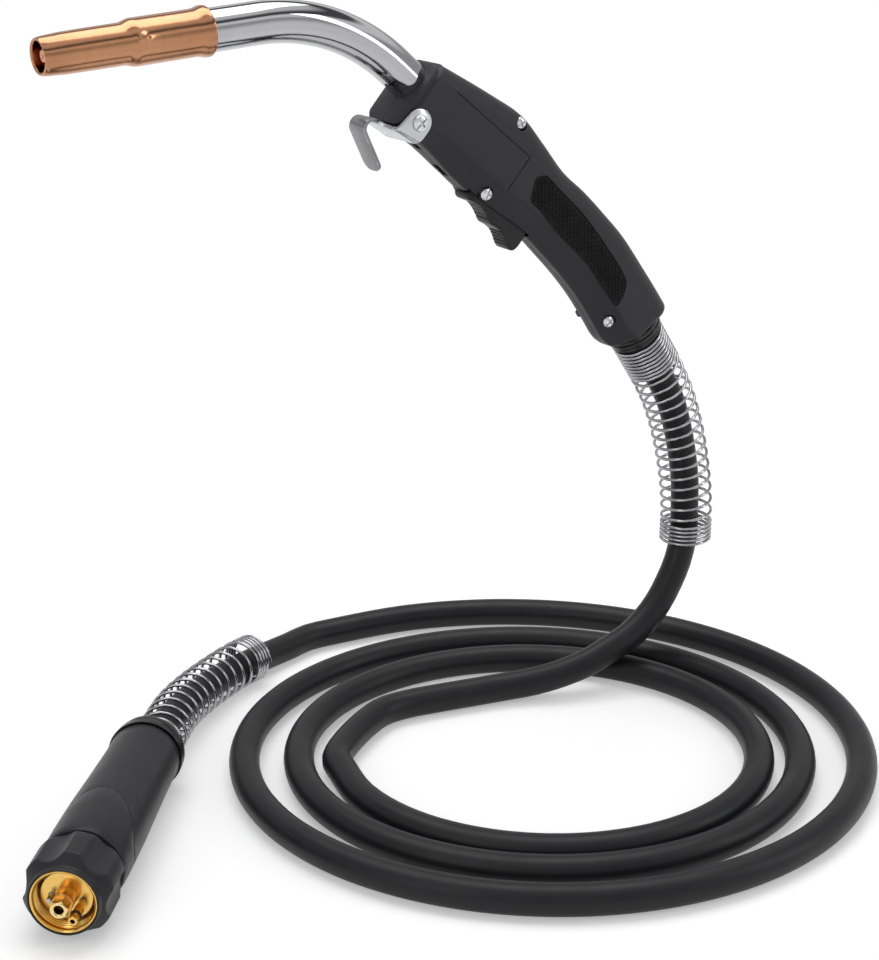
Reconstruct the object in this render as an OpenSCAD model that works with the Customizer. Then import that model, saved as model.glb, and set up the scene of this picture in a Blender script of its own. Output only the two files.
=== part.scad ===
// MIG welding torch: swan neck, pistol handle, coiled power cable and euro style
// machine connector.  Millimetres, +Z up.  The head and handle lie in the XZ plane
// with the nozzle towards -X; the origin is the middle of the grip, where the hand
// holds it.  The cable comes down behind the handle and lies coiled on the floor.

/* [Nozzle and tip] */
// Length of the nozzle
nozzle_len = 76.5; // [70:0.5:85]
// Outer radius of the nozzle's rear body
nozzle_r = 9.9; // [9.6:0.05:10.6]
// Outer radius of the slimmer front of the nozzle
nozzle_front_r = 8.7; // [8.5:0.05:9.3]
// Outer radius of the nozzle at its mouth
nozzle_mouth_r = 7.4; // [7.3:0.05:8]
// Radius of the flared rim at the nozzle's rear
nozzle_rim_r = 10.8; // [10.4:0.05:12]
// Length of that rim
nozzle_rim_len = 4; // [2:0.5:8]
// Distance from the rear of the nozzle to its step
nozzle_step = 34; // [33.5:0.5:38]
// Length of the blend from the rear body to the front
nozzle_blend = 6; // [3:0.5:8]
// Wall of the nozzle at its mouth
nozzle_wall = 1.1; // [0.8:0.05:1.3]
// Radius of the round detent on the nozzle's side
detent_r = 2.4; // [1.5:0.1:3]
// Distance of the detent from the nozzle's rear
detent_at = 33; // [24:0.5:33.5]
// Height angle of the detent above the side
detent_turn = 15; // [0:1:40]
// Outer radius of the insulator inside the nozzle
insulator_r = 8.2; // [7.8:0.05:8.4]
// Length of the insulator
insulator_len = 28; // [20:0.5:28]
// Outer radius of the gas diffuser
diffuser_r = 5.9; // [5.6:0.05:6.4]
// Length of the gas diffuser
diffuser_len = 42; // [38:0.5:44]
// Radius of each gas hole
gas_hole_r = 0.9; // [0.6:0.05:1.1]
// Number of gas holes round the diffuser
gas_holes = 6; // [4:1:8]
// Radius of the contact tip
tip_r = 4; // [3.5:0.05:4.4]
// Radius of the contact tip's end face
tip_end_r = 2.5; // [1.8:0.1:3]
// Radius of the contact tip's threaded shank
tip_shank_r = 3; // [2.6:0.05:3.2]
// Length of the shank inside the diffuser
tip_shank_len = 8; // [5:0.5:10]
// Radius of the wire bore in the tip
wire_bore_r = 0.6; // [0.4:0.05:0.8]
// How far the tip sits back from the nozzle's mouth
tip_recess = 2; // [0:0.5:6]

/* [Neck] */
// Outer radius of the polished neck jacket
neck_r = 9.25; // [9:0.05:9.6]
// Wall of the neck jacket
jacket_wall = 1.4; // [1:0.1:1.6]
// Radius of the bend along its centre line
neck_bend_r = 97; // [80:1:120]
// Angle of the bend
neck_bend = 45; // [30:1:60]
// Straight length between the bend and the nozzle
neck_front = 24; // [12:0.5:45]
// Straight length between the handle and the bend
neck_tail = 10.5; // [4:0.5:25]
// Length of the jacket inside the handle
neck_seat = 14; // [10:0.5:15]
// Outer radius of the conductor tube
conductor_r = 5.4; // [5:0.05:5.5]
// Wall of the conductor tube
conductor_wall = 2.4; // [2:0.1:2.6]
// Outer radius of the wire liner
liner_r = 2.3; // [1.9:0.05:2.5]
// Bore radius of the wire liner
liner_bore_r = 1.2; // [0.8:0.05:1.4]

/* [Handle] */
// Half of the handle's width
handle_half = 15.5; // [15:0.25:18]
// Wall of the handle shells
shell_wall = 2.4; // [2:0.1:2.8]
// Rounding of the handle's upper edges
top_round = 8; // [6:0.5:9]
// Chamfer along the handle's lower edges
low_chamfer = 10.5; // [8:0.5:11]
// Slope of the neck's seat in the handle's mouth
mouth_slope = 41.5; // [38:0.5:45]
// Depth of each grip pad's recess
pad_recess = 1.1; // [0.8:0.1:1.3]
// How far each grip pad stands out of the side
pad_proud = 0.3; // [0:0.1:0.8]
// Radius of the shell screws' heads
screw_head_r = 3; // [2.5:0.1:3.6]
// Radius of the shell screws' shanks
screw_r = 1.5; // [1.3:0.05:1.7]
// Depth of the counterbore for a screw head
screw_sink = 2; // [1.6:0.1:2.2]

/* [Trigger] */
// Width of the trigger
trigger_w = 11; // [9:0.5:12]
// Length of the trigger behind its pivot
trigger_len = 36.3; // [35.5:0.1:37.5]
// How far the trigger's rear hump stands out
trigger_drop = 15; // [14.3:0.1:16.3]
// Length of the microswitch body
switch_len = 19; // [18:0.5:20]
// Height of the microswitch body
switch_h = 7; // [6.5:0.25:7]
// Thickness of the microswitch body
switch_w = 6.4; // [5.5:0.1:8]
// Radius of the switch's plunger
plunger_r = 1.2; // [0.9:0.05:1.5]

/* [Hanger hook] */
// Thickness of the hook's strip
hook_t = 1.6; // [1.2:0.1:2]
// Width of the strip at the hook
hook_w = 12.5; // [9:0.5:14]
// Radius of the lug that carries the hook
hook_lug_r = 6.4; // [5.5:0.1:7]
// Length of the hook's free leg
hook_leg = 20; // [16:0.5:24]
// Radius of the bend over the hook's top
hook_bend_r = 3.2; // [2.6:0.1:4]
// Radius of the hook screw's head
hook_screw_r = 3.8; // [3:0.1:4.5]

/* [Cable and springs] */
// Diameter of the power cable
cable_d = 15; // [14:0.25:15]
// Height of the grip above the floor
grip_height = 262; // [262:0.5:266]
// Wire diameter of both support springs
spring_wire = 1.7; // [1.4:0.05:1.9]
// Outer diameter of the spring at the handle
handle_spring_d = 28.4; // [27.5:0.1:29.5]
// Outer diameter of the spring at the connector
lead_spring_d = 25.6; // [25:0.1:26.5]
// Pitch where the springs are wound close
close_pitch = 2.3; // [2.25:0.05:2.5]

/* [Connector] */
// Radius of the collar nut over its lobes
collar_r = 20.5; // [19:0.1:22]
// Radius of the collar nut's round front rim
collar_rim_r = 15.9; // [15.6:0.1:17]
// Length of the collar nut
collar_len = 28; // [26:0.5:30]
// Outer radius of the brass thread ring in the collar
thread_ring_r = 14.9; // [14.7:0.05:15.2]
// Bore radius of the thread ring
thread_bore_r = 13.2; // [13:0.05:13.6]
// Radius of the brass block that carries the pins
block_r = 11.5; // [11.3:0.05:11.6]
// Distance from the collar's front to the block's face
face_depth = 6; // [4.5:0.25:8]
// Radius of the central plug pin
plug_r = 4.5; // [4.2:0.05:4.5]
// Reach of the plug pin in front of the block's face
plug_reach = 12.5; // [10:0.25:15]
// Radius of the liner's way through the plug pin
plug_bore_r = 2; // [1.6:0.05:2.3]
// Radius of the gas pin
gas_pin_r = 2.1; // [1.8:0.05:2.1]
// Radius of each signal pin
signal_pin_r = 1.3; // [1.1:0.05:1.35]
// Travel of each signal pin
signal_travel = 3; // [2:0.25:4]
// Distance of the signal pins from the connector's axis
signal_pitch_r = 6.4; // [6.4:0.05:6.8]
// Radius of the housing behind the collar
housing_r = 19.3; // [18.6:0.1:20]
// Radius of the housing at its rear end
housing_tail_r = 17.3; // [16.5:0.1:18]
// Length of the housing with its front sleeve
housing_len = 108; // [100:0.5:112]
// Length of the sleeve's arched tongues
tongue_len = 39; // [30:0.5:45]
// Radius of the ribbed ring behind the housing
bush_ring_r = 18.1; // [17.6:0.1:19]

/* [Clearances] */
// Radial clearance of running fits
run_fit = 0.05; // [0.02:0.01:0.08]
// Gap between parts that are slid together
slip_fit = 0.15; // [0.1:0.01:0.2]

/* [Hidden] */
$fn = 64;

// ---------------------------------------------------------------- curves
function unit(v) = v / norm(v);
// Catmull-Rom value between p[i] and p[i + 1]
function knot(p, i) = i < 0 ? 2 * p[0] - p[1]
                    : i >= len(p) ? 2 * p[len(p) - 1] - p[len(p) - 2] : p[i];
function blend(a, b, c, d, t) =
    0.5 * (2 * b + (c - a) * t + (2 * a - 5 * b + 4 * c - d) * t * t
           + (3 * b - a - 3 * c + d) * t * t * t);
function spline(p, n) = [for (i = [0 : len(p) - 2], k = [0 : n - 1])
    blend(knot(p, i - 1), knot(p, i), knot(p, i + 1), knot(p, i + 2), k / n), p[len(p) - 1]];
function lengths(p, i = 0, sum = 0, out = []) =
    i == len(p) ? out
    : lengths(p, i + 1, sum + (i == len(p) - 1 ? 0 : norm(p[i + 1] - p[i])), concat(out, [sum]));
// position at a distance s along a fine polyline p whose lengths are q
function along(p, q, s) = [for (k = [0 : 2]) lookup(s, [for (i = [0 : len(p) - 1]) [q[i], p[i][k]]])];
function heading(p, i) = unit(p[min(i + 1, len(p) - 1)] - p[max(i - 1, 0)]);

// closed tube of n sides along the points p; ref is a direction that p never takes
module tube(p, r, n, ref) {
    rings = [for (i = [0 : len(p) - 1])
        let (t = heading(p, i), u = unit(cross(t, ref)), v = cross(t, u))
        for (k = [0 : n - 1]) p[i] + r * (cos(360 * (k + 0.5) / n) * u + sin(360 * (k + 0.5) / n) * v)];
    last = (len(p) - 1) * n;
    sides = [for (i = [0 : len(p) - 2], k = [0 : n - 1], h = [0, 1])
        let (a = i * n + k, b = i * n + (k + 1) % n)
        h == 0 ? [a, b + n, b] : [a, a + n, b + n]];
    ends = [for (k = [1 : n - 2], h = [0, 1]) h == 0 ? [0, k, k + 1] : [last, last + k + 1, last + k]];
    polyhedron(points = rings, faces = concat(sides, ends), convexity = 20);
}

// ---------------------------------------------------------------- places
lay_turn = 35;   // the cable lies turned by this angle against the head's plane
function lay(p) = [p.x * cos(lay_turn) + p.y * sin(lay_turn),
                   p.y * cos(lay_turn) - p.x * sin(lay_turn), p.z - grip_height];

// The connector's frame: +Z out of the collar's front, +X down, +Y to the right.
connector_spot = [-214, -230.5, 20.8];
connector_turn = 6.5;
connector_tilt = 1.2;
module at_connector() translate(lay(connector_spot))
    rotate([0, 90 - connector_tilt, -90 - connector_turn - lay_turn]) children();
function axis_of(turn, tilt) = let (a = -90 - turn - lay_turn)
    [cos(a) * cos(tilt), sin(a) * cos(tilt), sin(tilt)];
function connector_out(s) = lay(connector_spot) - s * axis_of(connector_turn, connector_tilt);
housing_at = collar_len + 1;     // from the collar's front plane
housing_end = housing_at + housing_len;
// The bush behind the housing looks along the spring, a little to the right.
tail_turn = 13;
tail_tilt = 1.6;
tail_socket_r = 11.5;
tail_depth = 6;
ring_len = 9;
lead_seat = 12;
tail_spot = connector_out(housing_end + 0.6);
module at_tail() translate(tail_spot) rotate([0, 90 - tail_tilt, -90 - tail_turn - lay_turn]) children();
function tail_out(s) = tail_spot - s * axis_of(tail_turn, tail_tilt);

// The neck's frame: +Z runs out of the handle towards the nozzle.
mouth = [-85.5, 0, 73];
module at_mouth() translate(mouth) rotate([0, mouth_slope - 90, 0]) children();
module at_bend_end() translate([-neck_bend_r, 0, 0]) rotate([0, -neck_bend, 0])
    translate([neck_bend_r, 0, 0]) children();
// The head's frame: +Z runs forward from the nozzle's rear end.
module at_head() at_mouth() translate([0, 0, neck_tail]) at_bend_end()
    translate([0, 0, neck_front]) children();

// One tube of the neck, from far inside the handle to a place inside the nozzle.
module neck_tube(r, bore, back, front) {
    module solid_run(q, over) {
        at_mouth() {
            translate([0, 0, -back - over]) cylinder(r = q, h = back + over + neck_tail);
            translate([-neck_bend_r, 0, neck_tail]) rotate([90, 0, 0])
                rotate_extrude(angle = neck_bend, $fn = 96) translate([neck_bend_r, 0]) circle(r = q);
        }
        at_head() translate([0, 0, -neck_front]) cylinder(r = q, h = neck_front + front + over);
    }
    difference() {
        solid_run(r, 0);
        solid_run(bore, 1);
    }
}

// ---------------------------------------------------------------- head
tip_seat = nozzle_len - tip_recess;
module nozzle() color([0.80, 0.50, 0.33]) at_head() {
    step_end = nozzle_step + nozzle_blend;
    difference() {
        union() {
            rotate_extrude() polygon([
                [0, 0], [nozzle_rim_r - 0.6, 0], [nozzle_rim_r, 0.6], [nozzle_rim_r, nozzle_rim_len],
                [nozzle_r + 0.1, nozzle_rim_len + 1.6], [nozzle_r, nozzle_step],
                [nozzle_r - 0.3, nozzle_step + 1], [nozzle_front_r + 0.3, step_end - 1],
                [nozzle_front_r, step_end], [nozzle_front_r - 0.2, nozzle_len - 10],
                [nozzle_mouth_r + 0.4, nozzle_len - 1.2], [nozzle_mouth_r, nozzle_len], [0, nozzle_len]]);
            rotate([0, 0, detent_turn - 90]) translate([nozzle_r - 1, 0, detent_at])
                sphere(r = detent_r, $fn = 32);
        }
        rotate_extrude() polygon([
            [0, -1], [neck_r + slip_fit, -1], [neck_r + slip_fit, jacket_end + slip_fit],
            [insulator_r + slip_fit, jacket_end + slip_fit], [insulator_r + slip_fit, nozzle_step],
            [nozzle_front_r - nozzle_wall - 0.2, step_end],
            [nozzle_front_r - nozzle_wall - 0.3, nozzle_len - 10],
            [nozzle_mouth_r - nozzle_wall + 0.1, nozzle_len + 0.1], [0, nozzle_len + 0.1]]);
    }
}

insulator_at = nozzle_step - insulator_len;
module nozzle_insulator() color([0.55, 0.42, 0.25]) at_head() translate([0, 0, insulator_at])
    difference() {
        cylinder(r = insulator_r, h = insulator_len);
        translate([0, 0, -1]) cylinder(r = diffuser_r, h = insulator_len + 2);
    }

jacket_end = 3;          // the neck jacket reaches this far into the nozzle
diffuser_at = jacket_end;
module gas_diffuser() color([0.78, 0.62, 0.30]) at_head() translate([0, 0, diffuser_at])
    difference() {
        union() {
            cylinder(r = diffuser_r, h = nozzle_step - diffuser_at);
            cylinder(r = diffuser_r - 0.6, h = diffuser_len);
            cylinder(r = neck_r - jacket_wall - slip_fit, h = insulator_at - diffuser_at - slip_fit);
        }
        translate([0, 0, -1]) cylinder(r = liner_r + slip_fit, h = diffuser_len + 2);
        translate([0, 0, diffuser_len - tip_shank_len]) cylinder(r = tip_shank_r, h = tip_shank_len + 1);
        for (k = [0 : gas_holes - 1]) rotate([0, 0, 360 * k / gas_holes])
            translate([0, 0, nozzle_step - diffuser_at + 1.5]) rotate([0, 90, 0])
                cylinder(r = gas_hole_r, h = 2 * diffuser_r, $fn = 24);
    }

module contact_tip() color([0.82, 0.48, 0.30]) at_head() {
    shoulder = diffuser_at + diffuser_len;
    difference() {
        rotate_extrude() polygon([
            [0, shoulder - tip_shank_len], [tip_shank_r, shoulder - tip_shank_len], [tip_shank_r, shoulder],
            [tip_r, shoulder], [tip_r, tip_seat - 5], [tip_end_r, tip_seat], [0, tip_seat]]);
        translate([0, 0, shoulder - tip_shank_len - 1])
            cylinder(r = wire_bore_r, h = nozzle_len, $fn = 24);
    }
}

// ---------------------------------------------------------------- neck
joint_at = 34;           // depth of the cable joint's face behind the mouth
joint_len = 28;
joint_r = 7.2;
conductor_grip = 6;      // the conductor reaches this far into the cable joint
module neck_jacket() color([0.82, 0.83, 0.85])
    neck_tube(neck_r, neck_r - jacket_wall, neck_seat, jacket_end);
module neck_insulation() color([0.30, 0.30, 0.32])
    neck_tube(neck_r - jacket_wall - 0.1, conductor_r + 0.1, neck_seat - 1, jacket_end - 2);
module neck_conductor() color([0.80, 0.48, 0.30])
    neck_tube(conductor_r, conductor_r - conductor_wall, joint_at + conductor_grip, jacket_end);
module wire_liner() color([0.72, 0.72, 0.74])
    neck_tube(liner_r, liner_bore_r, joint_at + conductor_grip,
              jacket_end + diffuser_len - tip_shank_len - 1);
module neck_nut() color([0.78, 0.62, 0.30]) at_mouth() translate([0, 0, -joint_at])
    difference() {
        cylinder(r = 9, h = joint_at - neck_seat - 1, $fn = 6);
        translate([0, 0, -1]) cylinder(r = conductor_r + 0.1, h = joint_at);
    }
module cable_joint() color([0.78, 0.62, 0.30]) at_mouth() translate([0, 0, -joint_at - joint_len])
    difference() {
        union() {
            cylinder(r = joint_r, h = joint_len);
            translate([0, 0, joint_len * 0.7]) cylinder(r = joint_r + 1.6, h = 5, $fn = 6);
        }
        translate([0, 0, joint_len - conductor_grip]) cylinder(r = conductor_r + 0.1, h = conductor_grip + 1);
    }

// ---------------------------------------------------------------- handle shells
// Upper and lower outline points of the handle, front to rear, in pairs.
rims = [[[-77, 82], [-101.2, 55.4]], [[-62.5, 74], [-83, 44.4]], [[-45, 64], [-66, 28.7]],
        [[-28.5, 53.5], [-50.5, 15]], [[-16, 39.5], [-34.5, 3.5]], [[-3.5, 24.5], [-21.5, -6]],
        [[9.5, 13.5], [-9.5, -17.8]], [[22, 1.5], [2, -29.8]], [[35.5, -12.5], [12.5, -42.3]],
        [[49, -30], [21.5, -55]], [[59, -43.5], [29, -66]], [[65, -52], [36, -71.5]]];
round_steps = 3;
front_wall = 3;
low_ease = 1.6;          // how far the lower chamfer is rounded into the flats
chamfer_share = [0.42, 0.75];   // of the full chamfer at the first two sections

// One half of a cross-section, inset by w: a rounded upper and a chamfered lower corner.
function half_section(top, low, w, over, share) =
    let (u = unit(top - low), t = top - w * u, b = low + w * u, y = handle_half - w,
         ct = top_round - w / 2, cb = low_chamfer * share - w * 0.6)
    concat([[b.x, over, b.y]],
           [for (p = [[cb, 0], [cb - low_ease, low_ease * 0.3], [low_ease * 0.3, cb - low_ease], [0, cb]])
               [b.x + p[1] * u.x, p[0] - y, b.y + p[1] * u.y]],
           [for (k = [0 : round_steps]) let (a = 90 * k / round_steps)
               [t.x - ct * (1 - sin(a)) * u.x, ct - y - ct * cos(a), t.y - ct * (1 - sin(a)) * u.y]],
           [[t.x, over, t.y]]);

module half_loft(stations, w, over) {
    secs = [for (i = [0 : len(stations) - 1]) half_section(stations[i][0], stations[i][1], w, over,
        i < len(chamfer_share) ? chamfer_share[i] : 1)];
    n = len(secs[0]);
    pts = [for (s = secs) each s];
    last = (len(secs) - 1) * n;
    sides = [for (i = [0 : len(secs) - 2], k = [0 : n - 1], h = [0, 1])
        let (a = i * n + k, b = i * n + (k + 1) % n)
        h == 0 ? [a, b, b + n] : [a, b + n, a + n]];
    ends = [for (k = [1 : n - 2], h = [0, 1]) h == 0 ? [0, k + 1, k] : [last, last + k, last + k + 1]];
    polyhedron(points = pts, faces = concat(sides, ends), convexity = 10);
}
function shift_end(a, b, d) = [for (k = [0, 1]) a[k] + d * unit(b[k] - a[k])];
inner_rims = concat([shift_end(rims[0], rims[1], front_wall)],
                    [for (i = [1 : len(rims) - 2]) rims[i]],
                    [shift_end(rims[len(rims) - 1], rims[len(rims) - 2], front_wall)]);

// The rear end's frame: +Z runs out of the handle along the cable.
rear = rims[len(rims) - 1];
rear_across = unit(rear[0] - rear[1]);
rear_mid = (rear[0] + rear[1]) / 2;
rear_slope = atan2(rear_across.x, rear_across.y);
module at_rear() translate([rear_mid.x, 0, rear_mid.y]) rotate([0, 90 + rear_slope, 0]) children();

// The trigger's frame: pivot at the origin, +X rearwards along the handle's lower edge.
pivot = [-49.3, 0, 19];
trigger_slope = 34.2;
module at_trigger() translate(pivot) rotate([0, trigger_slope, 0]) children();

screw_spots = [[-31.7, 50.4], [pivot.x, pivot.z], [27, -54.4]];
screw_sinks = [screw_sink + 1, screw_sink + 3, screw_sink + 3];   // heads below the side
hook_spot = [-91, 57];
boss_r = 4.2;
boss_depth = 7;          // of the hook screw's boss
module at_spot(p, side) translate([p.x, side * handle_half, p.y]) rotate([-side * 90, 0, 0]) children();

// Outline of the grip pads, clockwise from the upper front corner.
pad_outline = [[-24, 24.5], [-17.5, 25], [-9, 16.8], [4.5, 4.5], [16, -8.8], [29.5, -26], [34.2, -34],
               [32.6, -41], [28, -46.5], [17, -32.8], [10.4, -23.8], [3.8, -16.8], [-8.7, -5.5],
               [-21, 8.2], [-27, 13.5]];
pad_corner = 1.6;
module pad_plate(grow, t) rotate([90, 0, 0]) linear_extrude(t)
    offset(r = pad_corner + grow, $fn = 24) offset(delta = -pad_corner) polygon(pad_outline);

label_panel = [[-69.5, 68.5], [-27.5, 34.5], [-40.5, 20.5], [-52, 29.5], [-62, 40], [-80, 56]];
groove = 0.5;
slot_spots = [[-82.5, 44.5], [-68, 30.5]];   // slots through the lower edge
slot_size = [8.5, 4.5, 12];
slot_slope = 42;
neck_block = [8, 13.5, 26];   // length, outer radius and height of the neck's seat
neck_block_at = 10;           // behind the mouth

trigger_room = 0.8;      // gap round the trigger in the shells
switch_at = [8, 1.3];    // front lower corner of the switch, in the trigger's frame
peg_r = 1.05;
peg_spots = [for (x = [2.5, switch_len - 2.5]) [switch_at.x + x, switch_at.y + switch_h - 2.5]];
sleeve_out = 2.55;       // radius of the sleeve that the trigger turns on
ear_r = 5.2;
window_front = 6.8;      // the window reaches this far in front of the pivot

// side is -1 for the left shell, towards -Y, and 1 for the right one
module shell(side) {
    mirror([0, side > 0 ? 1 : 0, 0]) difference() {
        union() {
            difference() {
                half_loft(rims, 0, 0);
                half_loft(inner_rims, shell_wall, 1);
            }
            // screw bosses
            intersection() {
                half_loft(rims, 0, 0);
                union() {
                    for (p = screw_spots) at_spot(p, -1) translate([0, 0, -handle_half])
                        cylinder(r = boss_r, h = handle_half - 0.5);
                    if (side < 0) at_spot(hook_spot, -1) translate([0, 0, -boss_depth])
                        cylinder(r = boss_r, h = boss_depth - 0.5);
                    at_trigger() for (p = peg_spots) translate([p.x, 0, p.y]) rotate([90, 0, 0]) {
                        translate([0, 0, switch_w / 2]) cylinder(r = 2.6, h = handle_half);
                        translate([0, 0, 0.2]) cylinder(r = peg_r, h = handle_half);
                    }
                    // seat block for the neck
                    at_mouth() translate([0, 0, -neck_block_at]) intersection() {
                        translate([-neck_block[2] / 2, -handle_half, 0])
                            cube([neck_block[2], handle_half, neck_block[0]]);
                        cylinder(r = neck_block[1], h = neck_block[0]);
                    }
                }
            }
        }
        at_mouth() translate([0, 0, -40]) cylinder(r = neck_r + run_fit, h = 60);
        // rear mouth and the groove that holds the bush
        at_rear() translate([0, 0, -20]) cylinder(r = bush_neck_r + run_fit, h = 30);
        at_rear() translate([0, 0, -front_wall - bush_lip - 2 * run_fit])
            cylinder(r = bush_lip_r + run_fit, h = bush_lip + 2 * run_fit);
        // trigger window
        at_trigger() translate([-window_front, -trigger_w / 2 - trigger_room, -30])
            cube([trigger_len + window_front + 1.4, trigger_w + 2 * trigger_room, 31]);
        at_trigger() rotate([90, 0, 0])
            cylinder(r = ear_r + 1, h = trigger_w + 2 * trigger_room, center = true);
        at_trigger() rotate([90, 0, 0]) cylinder(r = sleeve_out, h = 2 * pin_reach, center = true);
        for (i = [0 : 2]) at_spot(screw_spots[i], -1) {
            translate([0, 0, -screw_sinks[i]]) cylinder(r = screw_head_r + slip_fit, h = 12);
            translate([0, 0, -handle_half - 1]) cylinder(r = screw_r + run_fit, h = handle_half + 2);
        }
        if (side < 0) at_spot(hook_spot, -1) translate([0, 0, -hook_screw_len])
            cylinder(r = screw_r + run_fit, h = 2 * hook_screw_len);
        translate([0, pad_recess - handle_half, 0]) pad_plate(slip_fit, 5);
        // fine line round the label's place
        translate([0, 0.35 - handle_half, 0]) rotate([90, 0, 0]) linear_extrude(2)
            for (i = [0, 1]) hull() for (p = [label_panel[i], label_panel[i + 1]])
                translate(p) circle(d = groove, $fn = 8);
        for (p = slot_spots) translate([p.x, 0, p.y]) rotate([0, slot_slope, 0])
            cube(slot_size, center = true);
    }
}
pin_reach = 8;
module handle_left() color([0.16, 0.16, 0.17]) shell(-1);
module handle_right() color([0.16, 0.16, 0.17]) shell(1);

module grip_pad(side) color([0.09, 0.09, 0.10]) mirror([0, side > 0 ? 1 : 0, 0])
    translate([0, pad_recess - handle_half, 0]) pad_plate(0, pad_recess + pad_proud);
module grip_pad_left() grip_pad(-1);
module grip_pad_right() grip_pad(1);

nut_h = 1.8;
module handle_screws() color([0.80, 0.80, 0.82]) for (i = [0 : 2]) at_spot(screw_spots[i], -1)
    translate([0, 0, -screw_sinks[i]]) {
        difference() {
            union() {
                cylinder(r = screw_head_r, h = 1);
                translate([0, 0, 1]) cylinder(r1 = screw_head_r, r2 = screw_head_r - 0.9, h = 0.8);
            }
            translate([0, 0, 1.7]) cube([0.9, 3 * screw_head_r, 1.6], center = true);
        }
        translate([0, 0, 2 * screw_sinks[i] - 2 * handle_half])
            cylinder(r = screw_r, h = 2 * (handle_half - screw_sinks[i]));
    }
module handle_nuts() color([0.80, 0.80, 0.82]) for (i = [0 : 2]) at_spot(screw_spots[i], 1)
    translate([0, 0, -screw_sinks[i]]) difference() {
        cylinder(r = screw_head_r - 0.2, h = nut_h, $fn = 6);
        translate([0, 0, -1]) cylinder(r = screw_r, h = nut_h + 2);
    }

// ---------------------------------------------------------------- hanger hook
hook_gap = 0.15;
hook_side = handle_half + hook_gap;   // inner face of the lug
plate_slope = 35;
plate_drop = 7.45;       // from the screw down to the plate under the handle
plate_span = [-9.2, 3.4];             // the plate at the lug, along its slope
module at_hook() translate([hook_spot.x, 0, hook_spot.y]) rotate([0, plate_slope, 0]) children();

// Outline of the strip in the plate's frame: over the bend and down to the tip.
bend_at = -13.3;         // where the strip turns over, along the plate
bend_turn = 150;         // from the plate round to the leg
bend_step = 25;
function bend_point(a, r) = [bend_at, -plate_drop - hook_t - hook_bend_r] + r * [-sin(a), cos(a)];
leg_run = hook_leg * [-cos(bend_turn), -sin(bend_turn)];
strip_start = plate_span[0] - 2;
strip_outline = concat([[strip_start, -plate_drop]],
    [for (a = [0 : bend_step : bend_turn]) bend_point(a, hook_bend_r + hook_t)],
    [for (r = [hook_bend_r + hook_t, hook_bend_r]) bend_point(bend_turn, r) + leg_run],
    [for (a = [bend_turn : -bend_step : 0]) bend_point(a, hook_bend_r)],
    [[strip_start, -plate_drop - hook_t]]);
module hanger_hook() color([0.74, 0.75, 0.77]) at_hook() difference() {
    union() {
        // lug on the left side, bent up from the plate below the handle
        translate([0, -hook_side - hook_t / 2, 0]) rotate([90, 0, 0])
            linear_extrude(hook_t, center = true) union() {
                circle(r = hook_lug_r);
                polygon([[1 - hook_lug_r, 1], [-7.6, -4], [plate_span[0], -plate_drop],
                         [plate_span[0], -plate_drop - hook_t], [plate_span[1], -plate_drop - hook_t],
                         [5.6, -6.4], [hook_lug_r - 0.3, 1.2]]);
            }
        translate([0, 0, -plate_drop - hook_t]) linear_extrude(hook_t) polygon([
            [plate_span[1], -hook_side - hook_t], [plate_span[1], hook_w / 2],
            [plate_span[0] - 3, hook_w / 2], [plate_span[0] - 3, -hook_w / 2],
            [plate_span[0] - 0.8, -hook_w / 2 - 3], [plate_span[0], -hook_w / 2 - 5.6],
            [plate_span[0], -hook_side - hook_t]]);
        rotate([90, 0, 0]) linear_extrude(hook_w, center = true) polygon(strip_outline);
    }
    translate([0, -hook_side, 0]) rotate([90, 0, 0])
        cylinder(r = screw_r + run_fit, h = 4 * hook_t, center = true);
}
hook_screw_len = 8.5;
module hook_screw() color([0.80, 0.80, 0.82]) at_spot(hook_spot, -1)
    translate([0, 0, hook_gap + hook_t]) {
        difference() {
            union() {
                cylinder(r = hook_screw_r, h = 0.9);
                translate([0, 0, 0.9]) cylinder(r1 = hook_screw_r, r2 = hook_screw_r - 1, h = 0.8);
            }
            translate([0, 0, 1.6]) cube([1, 2 * hook_screw_r + 1, 1.6], center = true);
        }
        translate([0, 0, -hook_screw_len]) cylinder(r = screw_r, h = hook_screw_len);
    }

// ---------------------------------------------------------------- trigger and switch
rib_r = 0.5;
module trigger() color([0.07, 0.07, 0.08]) at_trigger() difference() {
    union() {
        rotate([90, 0, 0]) linear_extrude(trigger_w, center = true) polygon([
            [-5, -2], [-5.5, -4.2], [-3.4, -6.1], [0, -5.6], [3.3, -4.9], [8.6, -6.3], [12.6, -8.6],
            [15.2, -9.9], [18.5, -9.4], [22.6, -9.8], [26.2, -11.6], [29.2, -13.9],
            [32.2, -trigger_drop], [34.2, 0.8 - trigger_drop], [trigger_len - 0.7, -11.4],
            [trigger_len, -6], [trigger_len, -2], [trigger_len - 1.4, -0.7]]);
        rotate([90, 0, 0]) cylinder(r = ear_r, h = trigger_w, center = true);
    }
    rotate([90, 0, 0]) cylinder(r = sleeve_out + run_fit, h = 2 * trigger_w, center = true);
    // finger ribs on both humps
    for (x = [0 : 4]) translate([3.6 + 2.1 * x, 0, -4.9 - 0.84 * x]) rotate([90, 0, 0])
        cylinder(r = rib_r, h = 2 * trigger_w, center = true, $fn = 16);
    for (x = [0 : 4]) translate([22.6 + 1.6 * x, 0, -9.7 - 0.98 * x]) rotate([90, 0, 0])
        cylinder(r = rib_r, h = 2 * trigger_w, center = true, $fn = 16);
}
module trigger_pin() color([0.70, 0.70, 0.72]) at_trigger() rotate([90, 0, 0]) difference() {
    cylinder(r = sleeve_out, h = 2 * pin_reach, center = true);
    cylinder(r = screw_r, h = 3 * pin_reach, center = true);
}

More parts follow.
